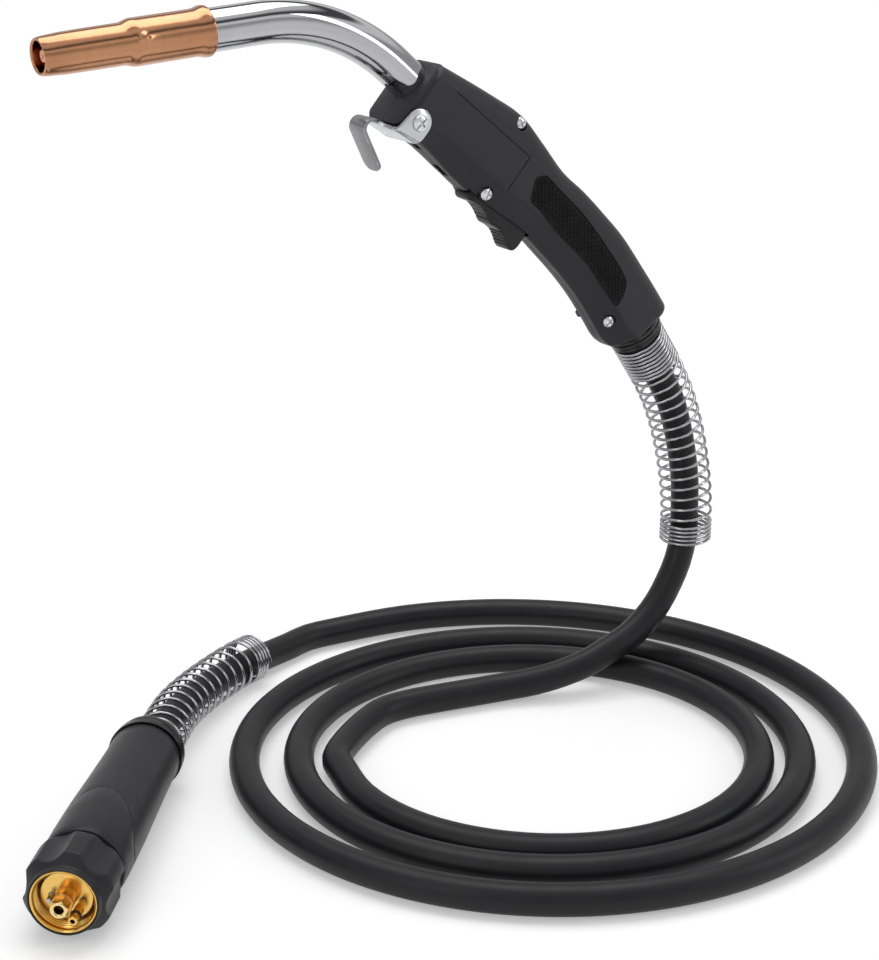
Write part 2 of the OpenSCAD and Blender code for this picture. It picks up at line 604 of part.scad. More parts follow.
plunger_at = 18;         // distance of the plunger from the pivot
plunger_len = 4.5;
rest_gap = 0.3;          // between the trigger and the plunger
module trigger_switch() color([0.10, 0.10, 0.11]) at_trigger()
    translate([switch_at.x, -switch_w / 2, switch_at.y]) difference() {
        cube([switch_len, switch_w, switch_h]);
        translate([plunger_at - switch_at.x, switch_w / 2, -1])
            cylinder(r = plunger_r + run_fit, h = plunger_len + 2.5);
        for (x = [2.5, switch_len - 2.5]) translate([x, -1, switch_h - 2.5]) rotate([-90, 0, 0])
            cylinder(r = peg_r, h = switch_w + 2, $fn = 24);
    }
module switch_plunger() color([0.75, 0.15, 0.12]) at_trigger()
    translate([plunger_at, 0, -0.7 + rest_gap]) cylinder(r = plunger_r, h = plunger_len, $fn = 32);

lead_r = 0.9;
lead_paths = [for (side = [-1, 1]) [
    [switch_at.x + switch_len, side * 1.8, 5], [29.5, side * 1.8, 5], [34, side * 4, 5.4],
    [39, side * 8, 6.5], [46, side * 10.2, 8], [56, side * 10.6, 7], [68, side * 10.6, 2]]];
function trigger_out(p) = [pivot.x + p.x * cos(trigger_slope) + p.z * sin(trigger_slope), p.y,
                           pivot.z - p.x * sin(trigger_slope) + p.z * cos(trigger_slope)];
module switch_leads() color([0.65, 0.12, 0.10]) for (path = lead_paths)
    tube([for (p = path) trigger_out(p)], lead_r, 8, [0.3, 0, 1]);

// ---------------------------------------------------------------- cable inside the handle
bush_neck_r = 11.6;
bush_lip_r = 13;
bush_lip = 3;
bush_ring = 7.5;
cuff_r = 14.6;           // radius of the ribbed ring behind the handle
bush_seat = 15;
cable_r = cable_d / 2;
function mouth_out(s) = mouth + s * [cos(mouth_slope), 0, -sin(mouth_slope)];
function rear_out(s) = [rear_mid.x, 0, rear_mid.y] + s * [rear_across.y, 0, -rear_across.x];
inner_route = [mouth_out(joint_at + joint_len), mouth_out(joint_at + joint_len + 8), [-21.5, 0, 20.8],
               [-10.5, 0, 10.2], [1, 0, -1.4], [12.5, 0, -13.8], [24, 0, -26.8], [34.8, 0, -39.8],
               rear_out(-10), rear_out(0), rear_out(bush_ring + bush_seat)];
module cable_inner() color([0.08, 0.08, 0.09]) tube(inner_route, cable_r, 12, [0, 1, 0]);

module cable_bush() color([0.06, 0.06, 0.07]) at_rear() difference() {
    union() {
        translate([0, 0, -front_wall - bush_lip - run_fit]) cylinder(r = bush_lip_r, h = bush_lip);
        translate([0, 0, -front_wall - bush_lip - run_fit])
            cylinder(r = bush_neck_r, h = front_wall + bush_lip + 2);
        translate([0, 0, slip_fit]) rotate_extrude() polygon([
            [0, 0], [cuff_r - 0.2, 0], [cuff_r, 0.6], [cuff_r, 2.2], [cuff_r - 0.6, 2.7], [cuff_r, 3.2],
            [cuff_r, 4.8], [cuff_r - 0.6, 5.3], [cuff_r - 0.3, 5.8], [cuff_r - 0.5, bush_ring],
            [0, bush_ring]]);
        cylinder(r = spring_seat(handle_spring_d), h = bush_ring + bush_seat);
    }
    translate([0, 0, -front_wall - bush_lip - 1])
        cylinder(r = cable_r + run_fit, h = front_wall + bush_lip + bush_ring + bush_seat + 2);
}

// ---------------------------------------------------------------- springs
// Distance along the axis after a share of the turns: close, open, close.
function climb(turn, ends, total, run) =
    let (open = (run - close_pitch * (ends[0] + ends[1])) / (total - ends[0] - ends[1]))
    turn < ends[0] ? close_pitch * turn
    : turn > total - ends[1] ? run - close_pitch * (total - turn)
    : close_pitch * ends[0] + open * (turn - ends[0]);
curl_rings = 8;
// radius of the seat inside a spring of outer diameter d, clear of its straight chords
function spring_seat(d) = (d - spring_wire) / 2 * cos(180 / curl_rings) - spring_wire / 2 - slip_fit;
curl_reach = 7;          // the axis direction is taken over this much either way
function curl_path(axis, ref, r, ends, total) =
    let (q = lengths(axis), run = q[len(q) - 1])
    [for (k = [0 : total * curl_rings])
        let (turn = k / curl_rings, s = climb(turn, ends, total, run),
             c = along(axis, q, s),
             t = unit(along(axis, q, min(s + curl_reach, run)) - along(axis, q, max(s - curl_reach, 0))),
             u = unit(cross(t, ref)), v = cross(t, u))
        c + r * (cos(360 * turn) * u + sin(360 * turn) * v)];
// straight ends, one wire diameter long
function with_tails(p, d) = let (n = len(p))
    concat([p[0] - d * unit(p[1] - p[0])], p, [p[n - 1] + d * unit(p[n - 1] - p[n - 2])]);
// least distance between turns, a half turn or more apart along the wire
function least_gap(p, skip, d) = min([for (i = [0 : 2 : len(p) - 1 - skip], j = [i + skip : len(p) - 1])
    norm(p[i] - p[j])]) - d;

handle_spring_turns = 29;
handle_spring_ends = [9, 5];        // close turns at either end
spring_start = 1.5;                 // from the bush's ring to the first turn's middle
handle_spring_points = [[78, 0, -105.5], [86, 0, -126.5], [91.6, 0, -148.5], [94.1, 0, -164.5],
                        [94.8, 0, -176], [94.8, 0, -183], [94.8, 0, -190]];
handle_spring_axis = spline(concat([for (d = [0, bush_seat / 2, bush_seat, 1.5 * bush_seat])
    rear_out(bush_ring + spring_start + d)], handle_spring_points), 5);
handle_spring_path = with_tails(curl_path(handle_spring_axis, [0, 1, 0],
    (handle_spring_d - spring_wire) / 2, handle_spring_ends, handle_spring_turns), spring_wire);
module handle_spring() color([0.75, 0.76, 0.78])
    tube(handle_spring_path, spring_wire / 2, 6, [0.1, 1, 0.05]);

// ---------------------------------------------------------------- cable on the floor
cable_rest = cable_r;
coil_middle = [-10.5, -63.5];
coil_drift = [2.2, -1.7];           // the middle moves this much each turn
coil_stretch = 0.034;               // wider across than deep
// radius of the cable's centre line at each half turn, from outside to inside
coil_radii = [170.8, 147, 132.5, 121, 109.5, 100.5, 95];
coil_from = -36;                    // degrees of travel, from the back, clockwise
coil_to = 976;
coil_step = 360 / 24;
function coil_radius(w) = let (h = w / 180, i = max(0, min(len(coil_radii) - 2, floor(h))))
    blend(knot(coil_radii, i - 1), knot(coil_radii, i), knot(coil_radii, i + 1),
          knot(coil_radii, i + 2), h - i);
function coil_point(w) = let (r = coil_radius(w), m = coil_middle + coil_drift * w / 360)
    [m.x + r * (1 + coil_stretch) * sin(w), m.y + r * (1 - coil_stretch) * cos(w), cable_rest];
coil_start = coil_point(coil_from);
coil_end = coil_point(coil_to);
coil_in_dir = unit(coil_point(coil_from + 2) - coil_start);
coil_out_dir = unit(coil_end - coil_point(coil_to - 2));
coil_in = coil_start - cable_d * coil_in_dir;
coil_out = coil_end + cable_d * coil_out_dir;
end_run = 6;             // straight run before a stretch meets the next, face to face
coil_turns = floor((coil_to - coil_from) / coil_step);
coil_path = concat([lay(coil_in)],
    [for (k = [0 : coil_turns]) lay(coil_point(coil_from + (coil_to - coil_from) * k / coil_turns))],
    [lay(coil_out)]);
module cable_coil() color([0.08, 0.08, 0.09]) tube(coil_path, cable_r, 6, [0, 0, 1]);

// From the coil up to the handle: floor points, then points below the bush.
rise_floor = [[-87, -28, 7.5], [-74, -18, 7.5], [-58, -11, 7.5], [-40, -4, 7.5], [-22, 2, 8],
              [-5, 5, 10], [10, 8, 13.5], [23, 13, 17], [35, 19, 22], [46, 26, 26.5], [55, 32.5, 33],
              [62.5, 38.5, 41], [68.5, 44, 50.5], [73.5, 49.3, 61], [76.6, 53.6, 74]];
rise_hang = [[93.5, 0, -172], [92.8, 0, -156], [90, 0, -140], [85.5, 0, -123], [79, 0, -106]];
rise_route = concat([lay(coil_out), lay(coil_out + end_run * coil_out_dir)],
    [for (p = rise_floor) lay(p)], rise_hang,
    [rear_out(bush_ring + bush_seat + end_run), rear_out(bush_ring + bush_seat)]);
module cable_rise() color([0.08, 0.08, 0.09]) tube(rise_route, cable_r, 12, unit([0.35, 0.8, 0.2]));

// From the connector to the coil.
lead_spring_points = [[-189.3, -44, 17], [-182.5, -21, 15.6], [-174, 0, 14.3], [-165.3, 17.3, 13.5],
                      [-161.4, 23.15, 13.2], [-157.5, 29, 12.9]];
lead_floor = [[-194.3, -66, 18], [-189.3, -44, 16.8], [-182.5, -21, 15], [-174, 0, 13],
              [-165, 18, 11], [-157, 31, 9.5], [-148.5, 44, 8], [-139.5, 55, 7.5]];
lead_route = concat([tail_out(ring_len + lead_seat)], [for (p = lead_floor) lay(p)],
    [lay(coil_in - end_run * coil_in_dir), lay(coil_in)]);
module cable_lead() color([0.08, 0.08, 0.09]) tube(lead_route, cable_r, 12, [0, 0, 1]);

lead_spring_turns = 20;
lead_spring_ends = [3, 4];
lead_spring_steps = [0, 3.5, 8];    // points of the spring's axis on its straight seat
lead_spring_axis = spline(concat([for (d = lead_spring_steps) tail_out(ring_len + spring_start + d)],
    [for (p = lead_spring_points) lay(p)]), 5);
lead_spring_path = with_tails(curl_path(lead_spring_axis, [0, 0, 1],
    (lead_spring_d - spring_wire) / 2, lead_spring_ends, lead_spring_turns), spring_wire);
module connector_spring() color([0.75, 0.76, 0.78])
    tube(lead_spring_path, spring_wire / 2, 6, [0.05, 0.1, 1]);

// ---------------------------------------------------------------- connector

collar_chamfer = 5;
module collar_nut() color([0.09, 0.09, 0.10]) at_connector() difference() {
    intersection() {
        translate([0, 0, -collar_len]) linear_extrude(collar_len) union() {
            difference() {
                circle(r = collar_r);
                for (k = [0 : 5]) rotate([0, 0, 60 * k + 20]) translate([collar_r + 10.5, 0])
                    circle(r = 13.5);
            }
            circle(r = collar_rim_r);
        }
        rotate_extrude() polygon([
            [0, 0], [collar_rim_r - 0.5, 0], [collar_rim_r, -0.5], [collar_rim_r, -3],
            [collar_r, -3 - collar_chamfer], [collar_r, -collar_len + 4],
            [collar_r - 2, -collar_len], [0, -collar_len]]);
    }
    translate([0, 0, -thread_len - 0.3]) cylinder(r = thread_ring_r, h = thread_len + 1);
    translate([0, 0, -collar_len - 1]) cylinder(r = block_r + 0.6, h = collar_len);
}
thread_len = 20;
lip_len = 5;
module collar_thread() color([0.86, 0.68, 0.28]) at_connector() translate([0, 0, -thread_len - 0.3])
    difference() {
        cylinder(r = thread_ring_r, h = thread_len);
        translate([0, 0, lip_len]) cylinder(r = thread_bore_r, h = thread_len);
        translate([0, 0, thread_len - 1]) cylinder(r1 = thread_bore_r, r2 = thread_bore_r + 1.01, h = 1.01);
        translate([0, 0, -1]) cylinder(r = block_r + run_fit, h = thread_len);
    }
clip_t = 1.1;
clip_at = -thread_len - 0.3 + lip_len + 0.3;
module collar_circlip() color([0.55, 0.56, 0.58]) at_connector() translate([0, 0, clip_at])
    difference() {
        cylinder(r = thread_bore_r - 0.35, h = clip_t);
        translate([0, 0, -1]) cylinder(r = block_r - 1, h = 4);
        translate([5, -2, -1]) cube([20, 4, 4]);
    }
block_len = 52;
function pin_spot(angle) = [-signal_pitch_r * sin(angle), signal_pitch_r * cos(angle)];
signal_a = pin_spot(182);
signal_b = pin_spot(270);
gas_spot = [5.95, 5.15];
sleeve_r = signal_pin_r + 0.45;
module connector_block() color([0.86, 0.68, 0.28]) at_connector() difference() {
    union() {
        translate([0, 0, -face_depth - block_len]) cylinder(r = block_r, h = block_len - 0.4);
        translate([0, 0, -face_depth - 0.4]) cylinder(r1 = block_r, r2 = block_r - 0.4, h = 0.4);
    }
    translate([0, 0, clip_at - slip_fit]) difference() {
        cylinder(r = block_r + 1, h = clip_t + 2 * slip_fit);
        translate([0, 0, -1]) cylinder(r = block_r - 1.05, h = 4);
    }
    translate([0, 0, -face_depth - plug_seat]) cylinder(r = plug_r - plug_step, h = plug_seat + 1);
    translate([0, 0, -face_depth - block_len - 1]) cylinder(r = plug_bore_r, h = block_len);
    translate([gas_spot.x, gas_spot.y, -face_depth - gas_seat]) cylinder(r = gas_pin_r, h = gas_seat + 1);
    for (p = [signal_a, signal_b]) translate([p.x, p.y, -face_depth - signal_seat])
        cylinder(r = sleeve_r, h = signal_seat + 1);
}
plug_seat = 24;
plug_step = 0.6;         // the pin's shoulder rests on the block's face
nose_len = 5;
nut_r = plug_r - 0.3;    // over the corners of the liner nut
module plug_pin() color([0.86, 0.66, 0.26]) at_connector() translate([0, 0, -face_depth - plug_seat])
    difference() {
        union() {
            cylinder(r = plug_r - plug_step, h = plug_seat);
            translate([0, 0, plug_seat]) cylinder(r = plug_r, h = plug_reach - nose_len);
        }
        translate([0, 0, -1]) cylinder(r = plug_bore_r, h = plug_seat + plug_reach);
    }
module liner_nut() color([0.88, 0.72, 0.34]) at_connector()
    translate([0, 0, plug_reach - face_depth - nose_len]) difference() {
        intersection() {
            cylinder(r = nut_r, h = nose_len, $fn = 6);
            cylinder(r1 = nut_r + 2 * nose_len, r2 = nut_r - 0.4, h = nose_len);
        }
        translate([0, 0, -1]) cylinder(r = plug_bore_r, h = nose_len + 2);
    }
gas_seat = 10;
gas_reach = 10.5;
seal_at = 5.5;           // from the block's face
seal_r = 0.55;
module gas_pin() color([0.86, 0.68, 0.30]) at_connector()
    translate([gas_spot.x, gas_spot.y, -face_depth - gas_seat]) difference() {
        union() {
            cylinder(r = gas_pin_r, h = gas_seat + gas_reach - 0.4);
            translate([0, 0, gas_seat + gas_reach - 0.4])
                cylinder(r1 = gas_pin_r, r2 = gas_pin_r - 0.3, h = 0.4);
        }
        translate([0, 0, -1]) cylinder(r = gas_pin_r - 1.15, h = gas_seat + gas_reach + 2, $fn = 32);
        translate([0, 0, gas_seat + seal_at]) rotate_extrude() translate([gas_pin_r, 0])
            circle(r = seal_r, $fn = 24);
    }
module gas_seal() color([0.10, 0.10, 0.11]) at_connector()
    translate([gas_spot.x, gas_spot.y, -face_depth + seal_at]) rotate_extrude()
        translate([gas_pin_r, 0]) circle(r = seal_r, $fn = 24);

signal_seat = 16;
signal_reach = 5;
module signal_sleeves() color([0.85, 0.84, 0.80]) at_connector() for (p = [signal_a, signal_b])
    translate([p.x, p.y, -face_depth - signal_seat]) difference() {
        cylinder(r = sleeve_r, h = signal_seat);
        translate([0, 0, 1]) cylinder(r = signal_pin_r + run_fit, h = signal_seat, $fn = 32);
    }
module signal_pin(p) color([0.82, 0.82, 0.84]) at_connector()
    translate([p.x, p.y, -face_depth - signal_seat + 1 + signal_travel + 0.5]) {
        stem = signal_seat - 1.5 - signal_travel + signal_reach;
        cylinder(r = signal_pin_r, h = stem - 0.5, $fn = 32);
        translate([0, 0, stem - 0.5]) cylinder(r1 = signal_pin_r, r2 = signal_pin_r - 0.4, h = 0.5, $fn = 32);
    }
module signal_pin_a() signal_pin(signal_a);
module signal_pin_b() signal_pin(signal_b);

// ---------------------------------------------------------------- connector housing
module housing_form(grow) translate([0, 0, -housing_end]) rotate_extrude() polygon([
    [0, 0], [housing_tail_r - 1.2 + grow, 0], [housing_tail_r + grow, 1.2],
    [housing_tail_r + 0.1 + grow, housing_len * 0.2], [housing_r - 0.4 + grow, housing_len * 0.62],
    [housing_r + grow, housing_len - 12], [housing_r - 0.4 + grow, housing_len - 1],
    [housing_r - 1.2 + grow, housing_len], [0, housing_len]]);
front_band = 3;
module tongue_cut(grow) rotate([0, 90, 0]) translate([housing_at, 0, -60]) linear_extrude(120) union() {
    translate([-1, -40]) square([front_band + 1 + grow, 80]);
    intersection() {
        scale([1, (housing_r + 1.4) / tongue_len]) circle(r = tongue_len + grow, $fn = 96);
        translate([0, -40]) square([80, 80]);
    }
}
core_r = 15.2;           // the sleeve's tongues lie on this inner barrel
module connector_sleeve() color([0.10, 0.10, 0.11]) at_connector() difference() {
    intersection() {
        housing_form(0);
        tongue_cut(0);
    }
    translate([0, 0, -housing_end]) cylinder(r = core_r, h = housing_len + 1);
}
module connector_housing() color([0.13, 0.13, 0.14]) at_connector() difference() {
    housing_form(0);
    difference() {
        tongue_cut(slip_fit);
        translate([0, 0, -housing_end - 1]) cylinder(r = core_r - slip_fit, h = housing_len + 2);
    }
    translate([0, 0, -face_depth - block_len]) cylinder(r = block_r, h = block_len);
    translate([0, 0, -housing_end - 1]) cylinder(r = cable_r + 1, h = housing_len);
    translate([0, 0, -housing_end - 1]) cylinder(r = tail_socket_r + slip_fit, h = tail_depth + 1);
}

module connector_bush() color([0.06, 0.06, 0.07]) difference() {
    union() {
        intersection() {
            at_tail() translate([0, 0, -ring_len]) rotate_extrude() polygon([
                [0, 0], [bush_ring_r - 1.6, 0], [bush_ring_r - 0.9, 0.7], [bush_ring_r - 0.9, 2.3],
                [bush_ring_r - 1.5, 2.7], [bush_ring_r - 0.4, 3.3], [bush_ring_r - 0.3, 5],
                [bush_ring_r - 1, 5.4], [bush_ring_r, 6], [bush_ring_r, ring_len + 4], [0, ring_len + 4]]);
            at_connector() translate([0, 0, -housing_end - slip_fit - 30]) cylinder(r = 40, h = 30);
        }
        at_connector() translate([0, 0, -housing_end - 3]) cylinder(r = tail_socket_r, h = tail_depth + 1.5);
        at_tail() translate([0, 0, -ring_len - lead_seat])
            cylinder(r = spring_seat(lead_spring_d), h = lead_seat + 1);
    }
    at_tail() translate([0, 0, -ring_len - lead_seat - 1])
        cylinder(r = cable_r + run_fit, h = ring_len + lead_seat + 3 * tail_depth);
}

echo(handle_spring_gap = least_gap(handle_spring_path, curl_rings / 2, spring_wire));
echo(lead_spring_gap = least_gap(lead_spring_path, curl_rings / 2, spring_wire));
echo(coil_gap = least_gap(coil_path, 12, cable_d));

nozzle();
nozzle_insulator();
gas_diffuser();
contact_tip();
neck_jacket();
neck_insulation();
neck_conductor();
wire_liner();
neck_nut();
cable_joint();
cable_inner();
handle_left();
handle_right();
grip_pad_left();
grip_pad_right();
handle_screws();
handle_nuts();
hanger_hook();
hook_screw();
trigger();
trigger_pin();
trigger_switch();
switch_plunger();
switch_leads();
cable_bush();
handle_spring();
cable_rise();
cable_coil();
cable_lead();
connector_spring();
connector_bush();
connector_housing();
connector_sleeve();
collar_nut();
collar_thread();
collar_circlip();
connector_block();
plug_pin();
liner_nut();
gas_pin();
gas_seal();
signal_sleeves();
signal_pin_a();
signal_pin_b();
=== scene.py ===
import bmesh
import bpy
from math import atan2, cos, degrees, pi, radians, sin, sqrt
from mathutils import Matrix, Vector


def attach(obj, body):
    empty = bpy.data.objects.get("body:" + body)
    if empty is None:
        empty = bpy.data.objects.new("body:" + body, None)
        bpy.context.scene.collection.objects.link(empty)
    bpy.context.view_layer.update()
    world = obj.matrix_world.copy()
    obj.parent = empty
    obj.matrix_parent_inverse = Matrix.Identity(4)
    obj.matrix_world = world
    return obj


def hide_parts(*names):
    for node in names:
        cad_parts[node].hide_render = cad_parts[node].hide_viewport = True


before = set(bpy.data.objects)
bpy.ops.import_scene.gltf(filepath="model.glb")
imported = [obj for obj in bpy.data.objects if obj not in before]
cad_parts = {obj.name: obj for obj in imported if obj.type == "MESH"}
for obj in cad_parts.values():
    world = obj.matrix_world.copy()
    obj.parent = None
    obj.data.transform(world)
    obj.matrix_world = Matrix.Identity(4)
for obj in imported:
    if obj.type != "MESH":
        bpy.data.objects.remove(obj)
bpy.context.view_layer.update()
scene = bpy.context.scene
scene.view_settings.view_transform = "Standard"
mm = 0.001
print("frame loaded:", len(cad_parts), "nodes")

# camera, in metres and degrees
camera = {"place": (-0.5925, -0.7485, 0.2105), "tilt": 70, "turn": -35, "lens": 74.55, "sensor": 36}
bpy.ops.object.camera_add(location=camera["place"],
                          rotation=(radians(camera["tilt"]), 0, radians(camera["turn"])))
scene.camera = bpy.context.object
scene.camera.name = "shotCamera"
scene.camera.data.lens = camera["lens"]
scene.camera.data.sensor_width = camera["sensor"]
scene.camera.data.clip_start = 0.01
print("camera set")


# places, in millimetres: each is a matrix from a piece's own frame to the torch's
def shift(x, y, z):
    return Matrix.Translation((x, y, z))


def turn(axis, angle):
    return Matrix.Rotation(radians(angle), 4, axis)


layTurn = 35      # the cable lies turned by this against the head's plane
floorAt = -262


def lay(x, y, z):
    c, s = cos(radians(layTurn)), sin(radians(layTurn))
    return Vector((x * c + y * s, y * c - x * s, z + floorAt))


def axisOut(swing, tilt):
    a = radians(-90 - swing - layTurn)
    return Vector((cos(a) * cos(radians(tilt)), sin(a) * cos(radians(tilt)), sin(radians(tilt))))


mouthPlace = shift(-85.5, 0, 73) @ turn("Y", 41.5 - 90)
bendPlace = mouthPlace @ shift(-97, 0, 10.5) @ turn("Y", -45) @ shift(97, 0, 0)
headPlace = bendPlace @ shift(0, 0, 24)
rearMid = Vector((50.5, 0, -61.75))
rearAcross = Vector((29, 0, 19.5)).normalized()
rearPlace = shift(*rearMid) @ turn("Y", 90 + degrees(atan2(rearAcross.x, rearAcross.z)))
triggerPlace = shift(-49.3, 0, 19) @ turn("Y", 34.2)
hookPlace = shift(-91, 0, 57) @ turn("Y", 35)
connectorAim = (6.5, 1.2)      # swing and tilt of the connector as it lies, in degrees
tailAim = (13, 1.6)      # and of the cable where it comes out
connectorSpot = lay(-214, -230.5, 20.8)
tailSpot = connectorSpot - 137.6 * axisOut(*connectorAim)


def lyingPlace(spot, swing, tilt):
    return shift(*spot) @ turn("Z", -90 - swing - layTurn) @ turn("Y", 90 - tilt)


connectorPlace = lyingPlace(connectorSpot, *connectorAim)
tailPlace = lyingPlace(tailSpot, *tailAim)


def sideSpot(x, z, side):
    return shift(x, side * 15.5, z) @ turn("X", -side * 90)


def rearOut(s):
    return rearMid + s * Vector((rearAcross.z, 0, -rearAcross.x))


def tailOut(s):
    return tailSpot - s * axisOut(*tailAim)


# node groups shared by the finishes; an input is a value or another node's output
def setInputs(tree, node, inputs):
    for key, value in inputs.items():
        if isinstance(value, bpy.types.NodeSocket):
            tree.links.new(value, node.inputs[key])
        else:
            node.inputs[key].default_value = value
    return node


def addNode(tree, kind, inputs=None, **settings):
    node = tree.nodes.new(kind)
    for key, value in settings.items():
        setattr(node, key, value)
    return setInputs(tree, node, inputs or {})


def calc(tree, operation, *values, clamp=False):
    node = addNode(tree, "ShaderNodeMath", dict(enumerate(values)), operation=operation, use_clamp=clamp)
    return node.outputs[0]


def noise(tree, vector, scale, detail, roughness=0.5):
    return addNode(tree, "ShaderNodeTexNoise", {"Vector": vector, "Scale": scale, "Detail": detail,
                                                "Roughness": roughness}).outputs["Fac"]


def mapped(tree, value, low, high, **settings):      # 0 at low, 1 at high
    return addNode(tree, "ShaderNodeMapRange", {"Value": value, "From Min": low, "From Max": high},
                   **settings).outputs["Result"]


def mixed(tree, share, first, second):
    node = addNode(tree, "ShaderNodeMixRGB", {"Fac": share, "Color1": first, "Color2": second})
    return node.outputs["Color"]


def bumped(tree, height, depth, distance, normal):
    return addNode(tree, "ShaderNodeBump", {"Height": height, "Strength": depth, "Distance": distance,
                                            "Normal": normal}).outputs["Normal"]


def roughened(tree, height, spread, roughness):      # a roughness that drifts with the height
    return calc(tree, "MULTIPLY_ADD", calc(tree, "SUBTRACT", height, 0.5), spread, roughness, clamp=True)


def newGroup(name, inputs, outputs):      # sockets as {label: kind}
    group = bpy.data.node_groups.new(name, "ShaderNodeTree")
    for way, sockets in (("INPUT", inputs), ("OUTPUT", outputs)):
        for label, kind in sockets.items():
            group.interface.new_socket(name=label, in_out=way, socket_type="NodeSocket" + kind)
    return group, group.nodes.new("NodeGroupInput").outputs, group.nodes.new("NodeGroupOutput")


def toneDriftGroup():      # slow drift between two colours, with finer flecks
    group, given, end = newGroup("toneDrift", {"Vector": "Vector", "Base": "Color", "Drift": "Color",
                                               "Scale": "Float"}, {"Color": "Color"})
    slow = noise(group, given["Vector"], given["Scale"], 5, 0.55)
    fine = noise(group, given["Vector"], calc(group, "MULTIPLY", given["Scale"], 14), 3)
    both = calc(group, "MULTIPLY_ADD", fine, 0.3, calc(group, "MULTIPLY", slow, 0.7))
    share = mapped(group, both, 0.36, 0.64)
    setInputs(group, end, {"Color": mixed(group, share, given["Base"], given["Drift"])})
    return group


def surfaceGrainGroup():      # moulded or cast grain as a bump, and a roughness that drifts
    group, given, end = newGroup("surfaceGrain", {
        "Vector": "Vector", "Scale": "Float", "Depth": "Float", "Roughness": "Float", "Spread": "Float",
        "Normal": "Vector"}, {"Normal": "Vector", "Roughness": "Float"})
    grain = noise(group, given["Vector"], given["Scale"], 4, 0.6)
    slow = noise(group, given["Vector"], calc(group, "MULTIPLY", given["Scale"], 0.04), 4)
    setInputs(group, end, {"Normal": bumped(group, grain, given["Depth"], 0.0002, given["Normal"]),
                           "Roughness": roughened(group, slow, given["Spread"], given["Roughness"])})
    return group


def edgeRubAndHighlightGroup():      # rounded look, and a lighter tone along edges: rubbed wear, and on some finishes a painted highlight
    group, given, end = newGroup("edgeRubAndHighlight", {
        "Vector": "Vector", "Radius": "Float", "Amount": "Float", "Base": "Color", "RubbedAndLit": "Color"},
        {"Color": "Color", "Normal": "Vector"})
    rounded = addNode(group, "ShaderNodeBevel", {"Radius": given["Radius"]}, samples=4).outputs["Normal"]
    plain = addNode(group, "ShaderNodeNewGeometry").outputs["Normal"]
    agree = addNode(group, "ShaderNodeVectorMath", {0: rounded, 1: plain}, operation="DOT_PRODUCT")
    patches = mapped(group, noise(group, given["Vector"], 220, 4), 0.35, 0.65)
    rubbedAndLit = calc(group, "MULTIPLY", mapped(group, agree.outputs["Value"], 0.995, 0.85), patches)
    share = calc(group, "MULTIPLY", rubbedAndLit, given["Amount"], clamp=True)
    setInputs(group, end, {"Color": mixed(group, share, given["Base"], given["RubbedAndLit"]), "Normal": rounded})
    return group


def turnedLinesGroup():      # fine lathe lines round a piece's own axis
    group, given, end = newGroup("turnedLines", {
        "Local": "Vector", "Lines": "Float", "Depth": "Float", "Roughness": "Float", "Spread": "Float",
        "Normal": "Vector"}, {"Normal": "Vector", "Roughness": "Float"})
    parts = addNode(group, "ShaderNodeSeparateXYZ", {"Vector": given["Local"]}).outputs
    flat = addNode(group, "ShaderNodeCombineXYZ", {"X": parts["X"], "Y": parts["Y"]}).outputs["Vector"]
    away = addNode(group, "ShaderNodeVectorMath", {0: flat}, operation="LENGTH").outputs["Value"]
    lines = addNode(group, "ShaderNodeTexNoise", {
        "W": calc(group, "ADD", away, parts["Z"]), "Scale": given["Lines"], "Detail": 3, "Roughness": 0.7},
        noise_dimensions="1D").outputs["Fac"]
    setInputs(group, end, {"Normal": bumped(group, lines, given["Depth"], 0.0001, given["Normal"]),
                           "Roughness": roughened(group, lines, given["Spread"], given["Roughness"])})
    return group


toneDrift = toneDriftGroup()
surfaceGrain = surfaceGrainGroup()
edgeRubAndHighlight = edgeRubAndHighlightGroup()
turnedLines = turnedLinesGroup()
